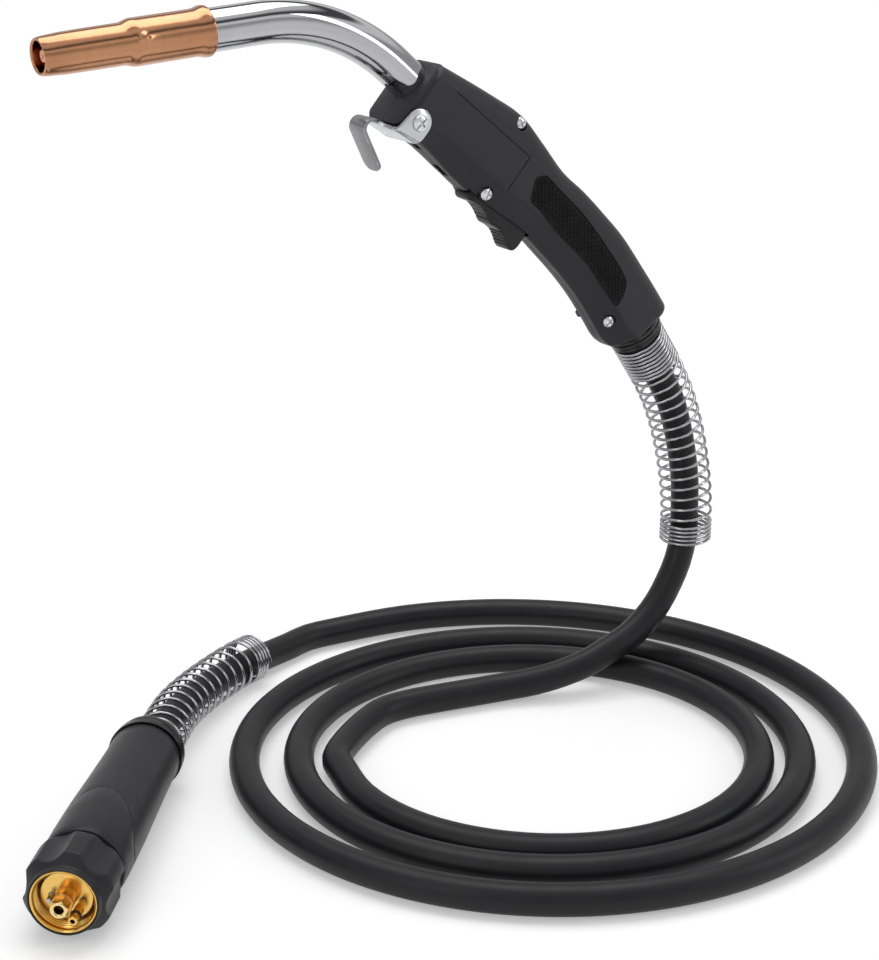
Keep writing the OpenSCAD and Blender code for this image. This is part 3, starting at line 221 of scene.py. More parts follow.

# slot; linear colours: plain, drift, edge tone (rubbed wear, and on some finishes a painted highlight);
# metallic, roughness and its spread; grain per metre and depth;
# edge radius in metres and how strongly the edge tone shows; gloss if not 0.5; lathe lines: round which
# place, how many a metre, how deep
looks = {
    "copper": ("copper", (0.50, 0.25, 0.135), (0.42, 0.20, 0.105), (0.84, 0.56, 0.36), 1, 0.18, 0.1, 420,
               0.04, 0.0004, 0.8),
    "tipCopper": ("copper", (0.80, 0.42, 0.28), (0.55, 0.25, 0.16), (0.9, 0.6, 0.45), 1, 0.28, 0.2, 900, 0.1,
                  0.0002, 0.5, 0.5, (headPlace, 2600, 0.15)),
    "fibre": ("fibre", (0.30, 0.19, 0.10), (0.22, 0.13, 0.07), (0.45, 0.32, 0.2), 0, 0.6, 0.2, 1300, 0.35,
              0.0002, 0.4, 0.5, (headPlace, 1800, 0.3)),
    "brass": ("brass", (0.83, 0.56, 0.17), (0.72, 0.44, 0.11), (0.95, 0.75, 0.35), 1, 0.2, 0.2, 700, 0.05,
              0.0002, 0.5, 0.5, (connectorPlace, 2600, 0.16)),
    "orangeBrass": ("brass", (0.78, 0.40, 0.10), (0.62, 0.29, 0.07), (0.92, 0.62, 0.28), 1, 0.24, 0.2, 700,
                    0.05, 0.0002, 0.5, 0.5, (connectorPlace, 2600, 0.14)),
    "paleBrass": ("brass", (0.88, 0.70, 0.36), (0.78, 0.57, 0.25), (0.96, 0.84, 0.55), 1, 0.2, 0.15, 700,
                  0.05, 0.0002, 0.6, 0.5, (connectorPlace, 2600, 0.1)),
    "polished": ("polished", (0.46, 0.46, 0.48), (0.42, 0.42, 0.44), (0.8, 0.8, 0.82), 1, 0.05, 0.08, 260,
                 0.02, 0.0002, 0.2),
    "neckSleeve": ("neck_sleeve", (0.045, 0.045, 0.05), (0.03, 0.03, 0.035), (0.1, 0.1, 0.1), 0, 0.5, 0.2,
                   900, 0.2, 0.0002, 0.3),
    "steel": ("steel", (0.70, 0.70, 0.72), (0.58, 0.58, 0.61), (0.85, 0.85, 0.86), 1, 0.22, 0.25, 1100, 0.12,
              0.00015, 0.6),
    "hookSteel": ("hook_steel", (0.58, 0.59, 0.61), (0.48, 0.49, 0.52), (0.85, 0.85, 0.87), 1, 0.26, 0.2, 700,
                  0.08, 0.0003, 0.9),
    # painted shade: the strip and leg are the same steel as the lug, made darker here to stand for shade
    "hookSteelPaintedShade": ("hook_steel", (0.17, 0.17, 0.18), (0.27, 0.27, 0.285), (0.9, 0.9, 0.92), 1, 0.3, 0.2, 900,
                  0.1, 0.0004, 1.0),
    "blackSteel": ("steel", (0.045, 0.045, 0.05), (0.03, 0.03, 0.034), (0.2, 0.2, 0.21), 1, 0.4, 0.2, 1100,
                   0.12, 0.00015, 0.5),
    "springSteel": ("spring_steel", (0.46, 0.46, 0.48), (0.32, 0.32, 0.35), (0.62, 0.62, 0.64), 1, 0.12, 0.2,
                    1500, 0.06, 0.0001, 0.2),
    "cableRubber": ("cable", (0.008, 0.008, 0.010), (0.012, 0.012, 0.014), (0.03, 0.03, 0.03), 0, 0.42, 0.16,
                    1500, 0.12, 0.0003, 0.2, 0.28),
    "handlePlastic": ("handle_plastic", (0.026, 0.026, 0.030), (0.022, 0.022, 0.026), (0.085, 0.085, 0.09), 0,
                      0.46, 0.12, 2200, 0.28, 0.0005, 0.5, 0.28),
    "gripRubber": ("grip_rubber", (0.005, 0.005, 0.006), (0.008, 0.008, 0.009), (0.06, 0.06, 0.063), 0, 0.55,
                   0.15, 2600, 0.3, 0.0002, 0.75, 0.16),
    "triggerPlastic": ("trigger_plastic", (0.013, 0.013, 0.015), (0.010, 0.010, 0.012), (0.06, 0.06, 0.062),
                       0, 0.4, 0.12, 2200, 0.2, 0.0004, 0.5, 0.25),
    "redPlastic": ("red_plastic", (0.45, 0.03, 0.02), (0.36, 0.02, 0.015), (0.6, 0.15, 0.1), 0, 0.35, 0.1,
                   1500, 0.1, 0.0002, 0.3),
    "leadSkin": ("lead_skin", (0.40, 0.025, 0.02), (0.30, 0.02, 0.015), (0.5, 0.1, 0.08), 0, 0.45, 0.1, 1500,
                 0.1, 0.0001, 0.2),
    "bushRubber": ("bush_rubber", (0.006, 0.006, 0.007), (0.010, 0.010, 0.011), (0.05, 0.05, 0.052), 0, 0.26,
                   0.14, 1500, 0.15, 0.0002, 0.4, 0.4),
    # the lighter edge tone on this finish is a painted highlight along the collar's lobe edges
    "connectorPlastic": ("connector_plastic", (0.021, 0.021, 0.024), (0.017, 0.017, 0.020),
                         (0.14, 0.14, 0.145), 0, 0.42, 0.14, 1900, 0.22, 0.0004, 0.85, 0.26),
    "ceramic": ("ceramic", (0.62, 0.58, 0.50), (0.52, 0.48, 0.41), (0.7, 0.68, 0.62), 0, 0.5, 0.15, 1500,
                0.15, 0.0001, 0.3),
    "silverPin": ("silver_pin", (0.52, 0.51, 0.50), (0.40, 0.39, 0.38), (0.9, 0.9, 0.88), 1, 0.18, 0.2, 1500,
                  0.08, 0.0001, 0.4), }


def makeFinish(name, slot, colour, drift, rubbedAndLit, metallic, roughness, spread, scale, depth, edge, wearAndHighlight,
               gloss=0.5, lathe=None):
    material = bpy.data.materials.new(name)
    material.use_nodes = True
    tree = material.node_tree
    place = addNode(tree, "ShaderNodeTexCoord").outputs["Object"]
    tone = addNode(tree, "ShaderNodeGroup", {"Vector": place, "Base": (*colour, 1), "Drift": (*drift, 1),
                                             "Scale": scale * 0.05}, node_tree=toneDrift).outputs["Color"]
    wornAndLit = addNode(tree, "ShaderNodeGroup", {"Vector": place, "Radius": edge, "Amount": wearAndHighlight, "Base": tone,
                                             "RubbedAndLit": (*rubbedAndLit, 1)}, node_tree=edgeRubAndHighlight).outputs
    skin = addNode(tree, "ShaderNodeGroup", {
        "Vector": place, "Scale": scale, "Depth": depth, "Spread": spread, "Roughness": roughness,
        "Normal": wornAndLit["Normal"]}, node_tree=surfaceGrain).outputs
    if lathe:
        at, lines, lineDepth = lathe
        local = addNode(tree, "ShaderNodeMapping", {"Vector": place, "Location": at.to_translation() * mm,
                                                    "Rotation": at.to_euler()}, vector_type="TEXTURE")
        skin = addNode(tree, "ShaderNodeGroup", {
            "Local": local.outputs["Vector"], "Lines": lines, "Depth": lineDepth, "Spread": spread,
            "Normal": skin["Normal"], "Roughness": skin["Roughness"]}, node_tree=turnedLines).outputs
    shader = next(node for node in tree.nodes if node.type == "BSDF_PRINCIPLED")
    setInputs(tree, shader, {
        "Base Color": wornAndLit["Color"], "Roughness": skin["Roughness"], "Normal": skin["Normal"],
        "Metallic": metallic, "Specular IOR Level": gloss})
    return material


finishes = {name: makeFinish(name, *look) for name, look in looks.items()}
print("finishes made:", len(finishes))


# cords and springs: smooth lines through given points
def smoothLine(points, spacing):
    points = [Vector(p) for p in points]
    ends = [2 * points[0] - points[1]] + points + [2 * points[-1] - points[-2]]
    line = []
    for a, b, c, d in zip(ends, ends[1:], ends[2:], ends[3:]):
        t1 = sqrt((b - a).length)
        t2 = t1 + sqrt((c - b).length)
        t3 = t2 + sqrt((d - c).length)
        count = max(1, round((c - b).length / spacing))
        for k in range(count):
            t = t1 + (t2 - t1) * k / count
            p = a * ((t1 - t) / t1) + b * (t / t1)
            q = b * ((t2 - t) / (t2 - t1)) + c * ((t - t1) / (t2 - t1))
            r = c * ((t3 - t) / (t3 - t2)) + d * ((t - t2) / (t3 - t2))
            u = p * ((t2 - t) / t2) + q * (t / t2)
            v = q * ((t3 - t) / (t3 - t1)) + r * ((t - t1) / (t3 - t1))
            line.append(u * ((t2 - t) / (t2 - t1)) + v * ((t - t1) / (t2 - t1)))
    return line + [points[-1]]


def roundCord(name, line, radius, sides, finish):
    shape = bpy.data.curves.new(name, "CURVE")
    shape.dimensions = "3D"
    spline = shape.splines.new("POLY")
    spline.points.add(len(line) - 1)
    for point, place in zip(spline.points, line):
        point.co = (*(place * mm), 1)
    shape.bevel_depth = radius * mm
    shape.bevel_resolution = sides // 2 - 2
    shape.use_fill_caps = True
    piece = bpy.data.objects.new(name, shape)
    scene.collection.objects.link(piece)
    shape.materials.append(finishes[finish])
    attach(piece, "torch")
    return piece


cable = {"diameter": 15, "length": 2.836, "spacing": 6, "sides": 28, "coilMiddle": (-10.5, -63.5),
         "coilDrift": (2.2, -1.7), "coilStretch": 0.034, "coilFrom": -36, "coilTo": 976,
         "coilRadii": (170.8, 147, 132.5, 121, 109.5, 100.5, 95),
         "hang": ((79, 0, -106), (85.5, 0, -123), (90, 0, -140), (92.8, 0, -156), (93.5, 0, -172)),
         "rise": ((76.6, 53.6, 74), (73.5, 49.3, 61), (68.5, 44, 50.5), (62.5, 38.5, 41), (55, 32.5, 33),
                  (46, 26, 26.5), (35, 19, 22), (23, 13, 17), (10, 8, 13.5), (-5, 5, 10), (-22, 2, 8),
                  (-40, -4, 7.5), (-58, -11, 7.5), (-74, -18, 7.5), (-87, -28, 7.5)),
         "lead": ((-139.5, 55, 7.5), (-148.5, 44, 8), (-157, 31, 9.5), (-165, 18, 11), (-174, 0, 13),
                  (-182.5, -21, 15), (-189.3, -44, 16.8), (-194.3, -66, 18)),
         "inside": ((-21.5, 0, 20.8), (-10.5, 0, 10.2), (1, 0, -1.4), (12.5, 0, -13.8), (24, 0, -26.8),
                    (34.8, 0, -39.8))}


def splineAt(points, i, t):      # on the smooth line through points, a share t past the one at i
    def at(k):
        last = len(points) - 1
        return 2 * points[0] - points[1] if k < 0 else 2 * points[-1] - points[-2] if k > last else points[k]
    a, b, c, d = at(i - 1), at(i), at(i + 1), at(i + 2)
    return 0.5 * (2 * b
                  + (c - a) * t + (2 * a - 5 * b + 4 * c - d) * t * t + (3 * b - a - 3 * c + d) * t ** 3)


def coilRadius(w):
    halfTurns = w / 180
    i = max(0, min(len(cable["coilRadii"]) - 2, int(halfTurns // 1)))
    return splineAt(cable["coilRadii"], i, halfTurns - i)


def coilPoint(w):
    r = coilRadius(w)
    mx = cable["coilMiddle"][0] + cable["coilDrift"][0] * w / 360
    my = cable["coilMiddle"][1] + cable["coilDrift"][1] * w / 360
    return Vector((mx + r * (1 + cable["coilStretch"]) * sin(radians(w)),
                   my + r * (1 - cable["coilStretch"]) * cos(radians(w)), cable["diameter"] / 2))


def cableRoute():      # from the handle down, round the coil from inside to outside, to the connector
    start, end = cable["coilFrom"], cable["coilTo"]
    coilIn = coilPoint(start) - cable["diameter"] * (coilPoint(start + 2) - coilPoint(start)).normalized()
    coilOut = coilPoint(end) + cable["diameter"] * (coilPoint(end) - coilPoint(end - 2)).normalized()
    count = int((end - start) / 15)
    coil = [lay(*coilPoint(end - (end - start) * k / count)) for k in range(count + 1)]
    return ([rearOut(22.5), rearOut(28.5)]
            + [Vector(p) for p in cable["hang"]] + [lay(*p) for p in cable["rise"]]
            + [lay(*coilOut)] + coil + [lay(*coilIn)] + [lay(*p) for p in cable["lead"]] + [tailOut(21)])


cableLine = smoothLine(cableRoute(), cable["spacing"])
powerCable = roundCord("powerCable", cableLine, cable["diameter"] / 2, cable["sides"], "cableRubber")
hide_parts("cable_rise", "cable_coil", "cable_lead")
runLength = sum((b - a).length for a, b in zip(cableLine, cableLine[1:])) * mm
print("cable laid, metres:", round(runLength, 3))

insideRoute = [mouthPlace @ Vector((0, 0, -62)), mouthPlace @ Vector((0, 0, -70)), *cable["inside"],
               rearOut(-10), rearOut(0), rearOut(22.5)]
insideLine = smoothLine(insideRoute, cable["spacing"])
cableInside = roundCord("cableInside", insideLine, cable["diameter"] / 2, cable["sides"], "cableRubber")
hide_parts("cable_inner")


def springLine(axisPoints, ref, radius, closeEnds, turns, pitch=2.3, perTurn=24, reach=7):
    # a line that winds round an axis: close at both ends, open between them
    axis = smoothLine(axisPoints, 1.5)
    far = [0]
    for a, b in zip(axis, axis[1:]):
        far.append(far[-1] + (b - a).length)
    run = far[-1]

    def at(s):
        s = max(0, min(run, s))
        i = max(0, min(len(far) - 2, next((k for k in range(1, len(far)) if far[k] >= s), 1) - 1))
        return axis[i].lerp(axis[i + 1], (s - far[i]) / (far[i + 1] - far[i]))
    openPitch = (run - pitch * sum(closeEnds)) / (turns - sum(closeEnds))
    line = []
    for k in range(turns * perTurn + 1):
        done = k / perTurn
        if done < closeEnds[0]:
            s = pitch * done
        elif done > turns - closeEnds[1]:
            s = run - pitch * (turns - done)
        else:
            s = pitch * closeEnds[0] + openPitch * (done - closeEnds[0])
        t = (at(s + reach) - at(s - reach)).normalized()
        u = t.cross(ref).normalized()
        v = t.cross(u)
        line.append(at(s) + radius * (cos(2 * pi * done) * u + sin(2 * pi * done) * v))
    return line


springs = {"wire": 1.7, "handleDiameter": 28.4, "handleTurns": 29, "handleEnds": (9, 5),
           "handleAxis": ((78, 0, -105.5), (86, 0, -126.5), (91.6, 0, -148.5), (94.1, 0, -164.5),
                          (94.8, 0, -176), (94.8, 0, -183), (94.8, 0, -190)),
           "leadDiameter": 25.6, "leadTurns": 20, "leadEnds": (3, 4),
           "leadAxis": ((-189.3, -44, 17), (-182.5, -21, 15.6), (-174, 0, 14.3), (-165.3, 17.3, 13.5),
                        (-161.4, 23.15, 13.2), (-157.5, 29, 12.9))}
handleSpring = roundCord("handleSpring", springLine(
    [rearOut(9), rearOut(16.5), rearOut(24.5), rearOut(31.5)] + list(springs["handleAxis"]),
    Vector((0, 1, 0)), (springs["handleDiameter"] - springs["wire"]) / 2, springs["handleEnds"],
    springs["handleTurns"]), springs["wire"] / 2, 10, "springSteel")
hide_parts("handle_spring")
connectorSpring = roundCord("connectorSpring", springLine(
    [tailOut(10.5), tailOut(14), tailOut(18.5)] + [lay(*p) for p in springs["leadAxis"]], Vector((0, 0, 1)),
    (springs["leadDiameter"] - springs["wire"]) / 2, springs["leadEnds"], springs["leadTurns"]),
    springs["wire"] / 2, 10, "springSteel")
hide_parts("connector_spring")
print("springs wound")


# modelling: everything is drawn in millimetres in its own frame, then settled
def freshSelection(*pieces):
    if bpy.context.object and bpy.context.object.mode != "OBJECT":
        bpy.ops.object.mode_set(mode="OBJECT")
    bpy.ops.object.select_all(action="DESELECT")
    for piece in pieces:
        piece.select_set(True)
        bpy.context.view_layer.objects.active = piece


def editAll(piece, kind="VERT"):
    freshSelection(piece)
    bpy.ops.object.mode_set(mode="EDIT")
    bpy.ops.mesh.select_mode(type=kind)
    bpy.ops.mesh.select_all(action="SELECT")


def bake(piece):      # its place goes into its points
    freshSelection(piece)
    bpy.ops.object.transform_apply(location=True, rotation=True, scale=True)


def closeUp(piece, doubles=0.002):      # seams merged, faces turned outwards
    editAll(piece)
    bpy.ops.mesh.remove_doubles(threshold=doubles)
    bpy.ops.mesh.normals_make_consistent(inside=False)
    bpy.ops.object.mode_set(mode="OBJECT")


def eased(outline, radius, steps=3, closed=True):      # corners of a flat outline made round
    points = [Vector(p) for p in outline]
    count = len(points)
    result = []
    for i, here in enumerate(points):
        if not closed and i in (0, count - 1):
            result.append(here)
            continue
        back, on = points[i - 1] - here, points[(i + 1) % count] - here
        reach = min(radius, back.length * 0.45, on.length * 0.45)
        a, b = here + back.normalized() * reach, here + on.normalized() * reach
        for k in range(steps + 1):
            t = k / steps
            result.append(a * (1 - t) ** 2 + here * 2 * t * (1 - t) + b * t * t)
    return result


def turnedPiece(name, outline, steps=96):
    # outline holds (radius, height) points; the first one starts as a vertex and is extruded along the rest
    freshSelection()
    bpy.ops.mesh.primitive_plane_add(size=1, location=(0, 0, 0))
    piece = bpy.context.object
    piece.name = name
    editAll(piece)
    bpy.ops.mesh.merge(type="CENTER")
    points = [Vector((p[0], 0, p[1])) for p in outline]
    bpy.ops.transform.translate(value=points[0])
    for a, b in zip(points, points[1:] + [points[0]]):
        bpy.ops.mesh.extrude_region_move(TRANSFORM_OT_translate={"value": b - a})
    bpy.ops.mesh.select_all(action="SELECT")
    bpy.ops.mesh.spin(steps=steps, angle=2 * pi, center=(0, 0, 0), axis=(0, 0, 1))
    closeUp(piece)
    return piece


def ringAt(radii, z):      # points round the axis, one for each radius
    count = len(radii)
    return [(r * cos(2 * pi * k / count), r * sin(2 * pi * k / count), z) for k, r in enumerate(radii)]


def ringPiece(name, rings, closed=False):
    # a circle shaped into the first ring, then extruded and shaped ring by ring
    count = len(rings[0])
    freshSelection()
    bpy.ops.mesh.primitive_circle_add(vertices=count, radius=1, fill_type="NOTHING", location=(0, 0, 0))
    piece = bpy.context.object
    piece.name = name
    editAll(piece)
    mesh = bmesh.from_edit_mesh(piece.data)
    mesh.verts.ensure_lookup_table()
    here = list(range(count))
    for k, place in enumerate(rings[0]):
        mesh.verts[k].co = place
    for ring in rings[1:]:
        bpy.ops.mesh.extrude_region_move()
        mesh = bmesh.from_edit_mesh(piece.data)
        mesh.verts.index_update()
        mesh.verts.ensure_lookup_table()
        old = set(here)
        there = []
        for k in here:
            vertex = mesh.verts[k]
            there.append(next(o.index for o in (e.other_vert(vertex) for e in vertex.link_edges)
                              if o.select and o.index not in old))
        for k, place in zip(there, ring):
            mesh.verts[k].co = place
        here = there
    if closed:      # the last ring meets the first one
        for k in range(count):
            mesh.verts[k].select_set(True)
        mesh.select_flush_mode()
        bmesh.update_edit_mesh(piece.data)
        bpy.ops.mesh.select_mode(type="EDGE")
        bpy.ops.mesh.bridge_edge_loops()
    else:
        bmesh.update_edit_mesh(piece.data)
        bpy.ops.mesh.edge_face_add()
        bpy.ops.mesh.select_all(action="DESELECT")
        mesh = bmesh.from_edit_mesh(piece.data)
        mesh.verts.ensure_lookup_table()
        for k in range(count):
            mesh.verts[k].select_set(True)
        mesh.select_flush_mode()
        bmesh.update_edit_mesh(piece.data)
        bpy.ops.mesh.edge_face_add()
    closeUp(piece, 0.0005)
    return piece


def platePiece(name, outline, low, high):      # a flat outline in x and z, thick along y
    return ringPiece(name, [[(p[0], y, p[1]) for p in outline] for y in (low, high)])


def addModifier(piece, kind, **settings):
    freshSelection(piece)
    modifier = piece.modifiers.new(kind.lower(), kind)
    for key, value in settings.items():
        setattr(modifier, key, value)
    bpy.ops.object.modifier_apply(modifier=modifier.name)


def softenEdges(piece, width, segments=2, angle=35):
    addModifier(piece, "BEVEL", width=width, segments=segments, limit_method="ANGLE",
                angle_limit=radians(angle), use_clamp_overlap=True)


def cut(piece, tool, how="DIFFERENCE"):
    addModifier(piece, "BOOLEAN", object=tool, operation=how, solver="EXACT")
    bpy.data.objects.remove(tool, do_unlink=True)


def boxTool(low, high, place=Matrix.Identity(4)):
    freshSelection()
    bpy.ops.mesh.primitive_cube_add(size=1, location=(0, 0, 0))
    tool = bpy.context.object
    low, high = Vector(low), Vector(high)
    tool.matrix_world = place @ Matrix.Translation((low + high) / 2) @ Matrix.Diagonal((*(high - low), 1))
    return tool


def rodTool(radius, low, high, place=Matrix.Identity(4), sides=48):
    freshSelection()
    bpy.ops.mesh.primitive_cylinder_add(vertices=sides, radius=radius, depth=high - low, location=(0, 0, 0))
    tool = bpy.context.object
    tool.matrix_world = place @ Matrix.Translation((0, 0, (low + high) / 2))
    return tool


def mirrorCopy(piece, name):      # comes back in edit mode, for its faces to be turned outwards
    freshSelection(piece)
    bpy.ops.object.duplicate()
    other = bpy.context.object
    other.name = name
    other.matrix_world = Matrix.Diagonal((1, -1, 1, 1))
    bake(other)
    editAll(other)
    return other


def joinPieces(pieces):
    freshSelection(*pieces[1:], pieces[0])
    bpy.ops.object.join()
    return bpy.context.object


def settle(piece, place, finish, body, *nodes, angle=32):      # to its place, in metres
    piece.matrix_world = Matrix.Scale(mm, 4) @ place @ piece.matrix_world
    bake(piece)
    bpy.ops.object.shade_smooth_by_angle(angle=radians(angle))
    piece.data.materials.clear()
    piece.data.materials.append(finishes[finish])
    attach(piece, body)
    if nodes:
        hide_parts(*nodes)
    return piece


asDrawn = Matrix.Identity(4)      # for pieces drawn straight in the torch's frame

# nozzle and tip, drawn from the nozzle's rear end forward
nozzle = {"length": 76.5, "radius": 9.9, "frontRadius": 8.7, "mouthRadius": 7.4, "rimRadius": 10.8,
          "step": 34, "blend": 6, "wall": 1.1, "bumpAt": 33, "bumpTurn": 15, "bumpRadius": 3,
          "bumpHeight": 1.2}


def makeNozzle():
    n = nozzle
    r, f, m, rim, wall, out = (n[key] for key in ("radius", "frontRadius", "mouthRadius", "rimRadius", "wall",
                                                  "length"))
    end = n["step"] + n["blend"]
    blend = [(r, n["step"] - 4 + 0.4 * k) for k in range(11)]
    blend += [(r - (r - f) * (0.5 - 0.5 * cos(pi * k / 14)), n["step"] + n["blend"] * k / 14)
              for k in range(1, 15)]
    outline = [(rim - 0.9, 0), (rim - 0.1, 0.35), (rim, 1.1), (rim - 0.05, 2.4), (rim - 0.5, 3.9),
               (r + 0.12, 5.4), (r, 7), (r, 12), (r, 18), (r, 24)] + blend
    outline += [(f - 0.01, end + 2), (f - 0.04, 50), (f - 0.12, 60), (f - 0.22, out - 10),
                (f - 0.45, out - 7), (m + 0.62, out - 2.6), (m + 0.3, out - 0.7), (m - 0.05, out - 0.05),
                (m - 0.5, out), (m - 0.95, out - 0.2), (m - wall - 0.05, out - 0.8),
                (f - wall - 0.3, out - 10), (f - wall - 0.2, end), (8.35, n["step"]), (8.35, 3.15),
                (9.4, 3.15), (9.4, 0.3), (9.7, 0)]
    piece = turnedPiece("nozzleShell", outline, 192)
    angle = radians(n["bumpTurn"] - 90)
    middle = Vector((cos(angle), sin(angle), 0))
    for vertex in piece.data.vertices:      # the pressed bump that grips the insulator
        flat = Vector((vertex.co.x, vertex.co.y, 0))
        if flat.length < n["frontRadius"] - 0.1:
            continue
        side = middle.angle(flat) * n["radius"]
        away = sqrt(side ** 2 + (vertex.co.z - n["bumpAt"]) ** 2) / n["bumpRadius"]
        if away < 1:
            vertex.co += flat.normalized() * n["bumpHeight"] * (1 - away ** 2) ** 1.5
    settle(piece, headPlace, "copper", "nozzle", "nozzle", angle=50)


makeNozzle()

tip = {"radius": 4, "endRadius": 2.5, "shoulder": 45, "end": 74.5, "bore": 0.6}


def makeTip():
    t = tip
    outline = eased([(t["bore"], t["shoulder"] - 8), (3, t["shoulder"] - 8), (3, t["shoulder"]),
                     (t["radius"], t["shoulder"]), (t["radius"], t["end"] - 5), (t["endRadius"], t["end"]),
                     (t["bore"] + 0.35, t["end"]), (t["bore"], t["end"] - 0.5)], 0.3)
    piece = turnedPiece("contactTip", outline, 64)
    for side in (-1, 1):      # spanner flats
        cut(piece, boxTool((side * 3.3, -6, 50), (side * 8, 6, 57)))
    settle(piece, headPlace, "tipCopper", "torch", "contact_tip")


makeTip()

diffuser = {"radius": 5.9, "length": 42, "at": 3, "bodyEnd": 34, "holes": 6, "holesAt": 35.5,
            "holeRadius": 0.9}


def makeDiffuser():
    d = diffuser
    outline = eased([(2.45, d["at"]), (7.7, d["at"]), (7.7, 5.85), (d["radius"], 5.85),
                     (d["radius"], d["bodyEnd"]), (d["radius"] - 0.6, d["bodyEnd"]),
                     (d["radius"] - 0.6, d["at"] + d["length"]), (3, d["at"] + d["length"]), (3, 37),
                     (2.45, 37)], 0.25)
    piece = turnedPiece("gasDiffuser", outline, 64)
    for k in range(d["holes"]):
        place = turn("Z", 360 / d["holes"] * k) @ shift(0, 0, d["holesAt"]) @ turn("Y", 90)
        cut(piece, rodTool(d["holeRadius"], 2.6, 8, place, 24))
    settle(piece, headPlace, "brass", "torch", "gas_diffuser")


makeDiffuser()
print("nozzle, tip and diffuser made")

# neck: a polished tube bent once
neck = {"radius": 9.25, "wall": 1.4, "bendRadius": 97, "bend": 45, "tail": 10.5, "seat": 14, "into": 3}


def makeNeck():
    places = [mouthPlace @ shift(0, 0, z) for z in (-neck["seat"], -7, 0, 5)]
    places += [mouthPlace @ shift(-neck["bendRadius"], 0, neck["tail"]) @ turn("Y", -neck["bend"] * k / 36)
               @ shift(neck["bendRadius"], 0, 0) for k in range(37)]
    places += [headPlace @ shift(0, 0, z) for z in (-18, -12, -6, 0, neck["into"] - 0.3, neck["into"])]
    walls = ((neck["radius"], places), (neck["radius"] - neck["wall"], places[::-1]))
    rings = []
    for j, (radius, run) in enumerate(walls):
        for k, place in enumerate(run):
            ease = 0.25 if (j == 0 and k == len(run) - 1) or (j == 1 and k == 0) else 0
            r = radius + (ease if j else -ease)
            rings.append([place @ Vector(point) for point in ringAt([r] * 72, 0)])
    piece = ringPiece("neckTube", rings, closed=True)
    settle(piece, asDrawn, "polished", "torch", "neck_jacket")


makeNeck()
print("neck bent")

# handle: two shells lofted through the same outline points as the solid
handle = {"half": 15.5, "wall": 2.4, "topRound": 8, "lowChamfer": 10.5, "lowEase": 1.6, "seam": 0.06,
          "frontSteps": ((0, 1.8), (0.15, 1.5), (0.5, 1.35), (2.2, 1.3), (2.4, 1.1), (2.55, 0.4), (2.8, 0.05),
                         (3.2, -0.2), (3.7, -0.2), (4.2, -0.05), (4.8, 0)),
          "rearRound": 2.6, "frontWall": 3, "chamferShare": (0.42, 0.75), "padRecess": 1.1,
          "grooveWidth": 0.6, "grooveDepth": 0.45,
          "rims": (((-77, 82), (-101.2, 55.4)), ((-62.5, 74), (-83, 44.4)), ((-45, 64), (-66, 28.7)),
                   ((-28.5, 53.5), (-50.5, 15)), ((-16, 39.5), (-34.5, 3.5)), ((-3.5, 24.5), (-21.5, -6)),
                   ((9.5, 13.5), (-9.5, -17.8)), ((22, 1.5), (2, -29.8)), ((35.5, -12.5), (12.5, -42.3)),
                   ((49, -30), (21.5, -55)), ((59, -43.5), (29, -66)), ((65, -52), (36, -71.5))),
          "pad": ((-24, 24.5), (-17.5, 25), (-9, 16.8), (4.5, 4.5), (16, -8.8), (29.5, -26), (34.2, -34),
                  (32.6, -41), (28, -46.5), (17, -32.8), (10.4, -23.8), (3.8, -16.8), (-8.7, -5.5),
                  (-21, 8.2), (-27, 13.5)), "panel": ((-69.5, 68.5), (-27.5, 34.5), (-40.5, 20.5)),
          "slots": ((-82.5, 44.5), (-68, 30.5)), "slotSize": (8.5, 4.5, 12), "slotSlope": 42,
          "screws": ((-31.7, 50.4, 3), (-49.3, 19, 5), (27, -54.4, 5)), "hookSpot": (-91, 57), "boss": 4.2,
          "headHole": 3.35, "shankHole": 1.55, "mouthBore": 9.3, "rearBore": 11.65, "window": 6.3,
          "earRoom": 6.2}


def halfRing(top, low, share, inset, middle):
    # half a section, from the lower middle round to the upper middle
    up = (top - low).normalized()
    t, b = top - inset * up, low + inset * up
    y = handle["half"] - inset
    ct = max(handle["topRound"] - inset / 2, 1)
    cb = handle["lowChamfer"] * share - inset * 0.6
    corner = eased([(0, 0), (0, y - cb), (cb, y), (cb + 12, y)], handle["lowEase"], 5, closed=False)[1:-1]
    ring = [b + Vector((0, -middle, 0)), b + Vector((0, -middle - 0.25, 0))]
    ring += [b + up * p[0] + Vector((0, -p[1], 0)) for p in corner]
    for k in range(9):
        a = radians(90 * k / 8)
        ring.append(t - up * ct * (1 - sin(a)) + Vector((0, ct - y - ct * cos(a), 0)))
    ring += [t + Vector((0, -middle - 0.25, 0)), t + Vector((0, -middle, 0))]
    if inset == 0:      # a fine groove along the seam
        ring[0] += up * 0.25
        ring[-1] -= up * 0.25
    return ring


def rimPoints(count=5):      # the outline points and smooth ones between them
    rims = []
    shares = list(handle["chamferShare"]) + [1] * (len(handle["rims"]) - 2)
    tops = [Vector((t[0], 0, t[1])) for t, _ in handle["rims"]]
    lows = [Vector((l[0], 0, l[1])) for _, l in handle["rims"]]
    for i in range(len(tops) - 1):
        for k in range(count):
            share = shares[i] + (shares[i + 1] - shares[i]) * k / count
            rims.append((splineAt(tops, i, k / count), splineAt(lows, i, k / count), share))
    return rims + [(tops[-1], lows[-1], 1)]


def shifted(a, b, d):      # a rim moved by d towards the next one
    return tuple(a[k] + (b[k] - a[k]).normalized() * d for k in (0, 1)) + (a[2],)


def roundSteps(radius):      # how far in and how deep each ring of a rounded end lies
    return [(radius * (1 - sin(radians(18 * k))), radius * (1 - cos(radians(18 * k))))
            for k in range(5, -1, -1)]


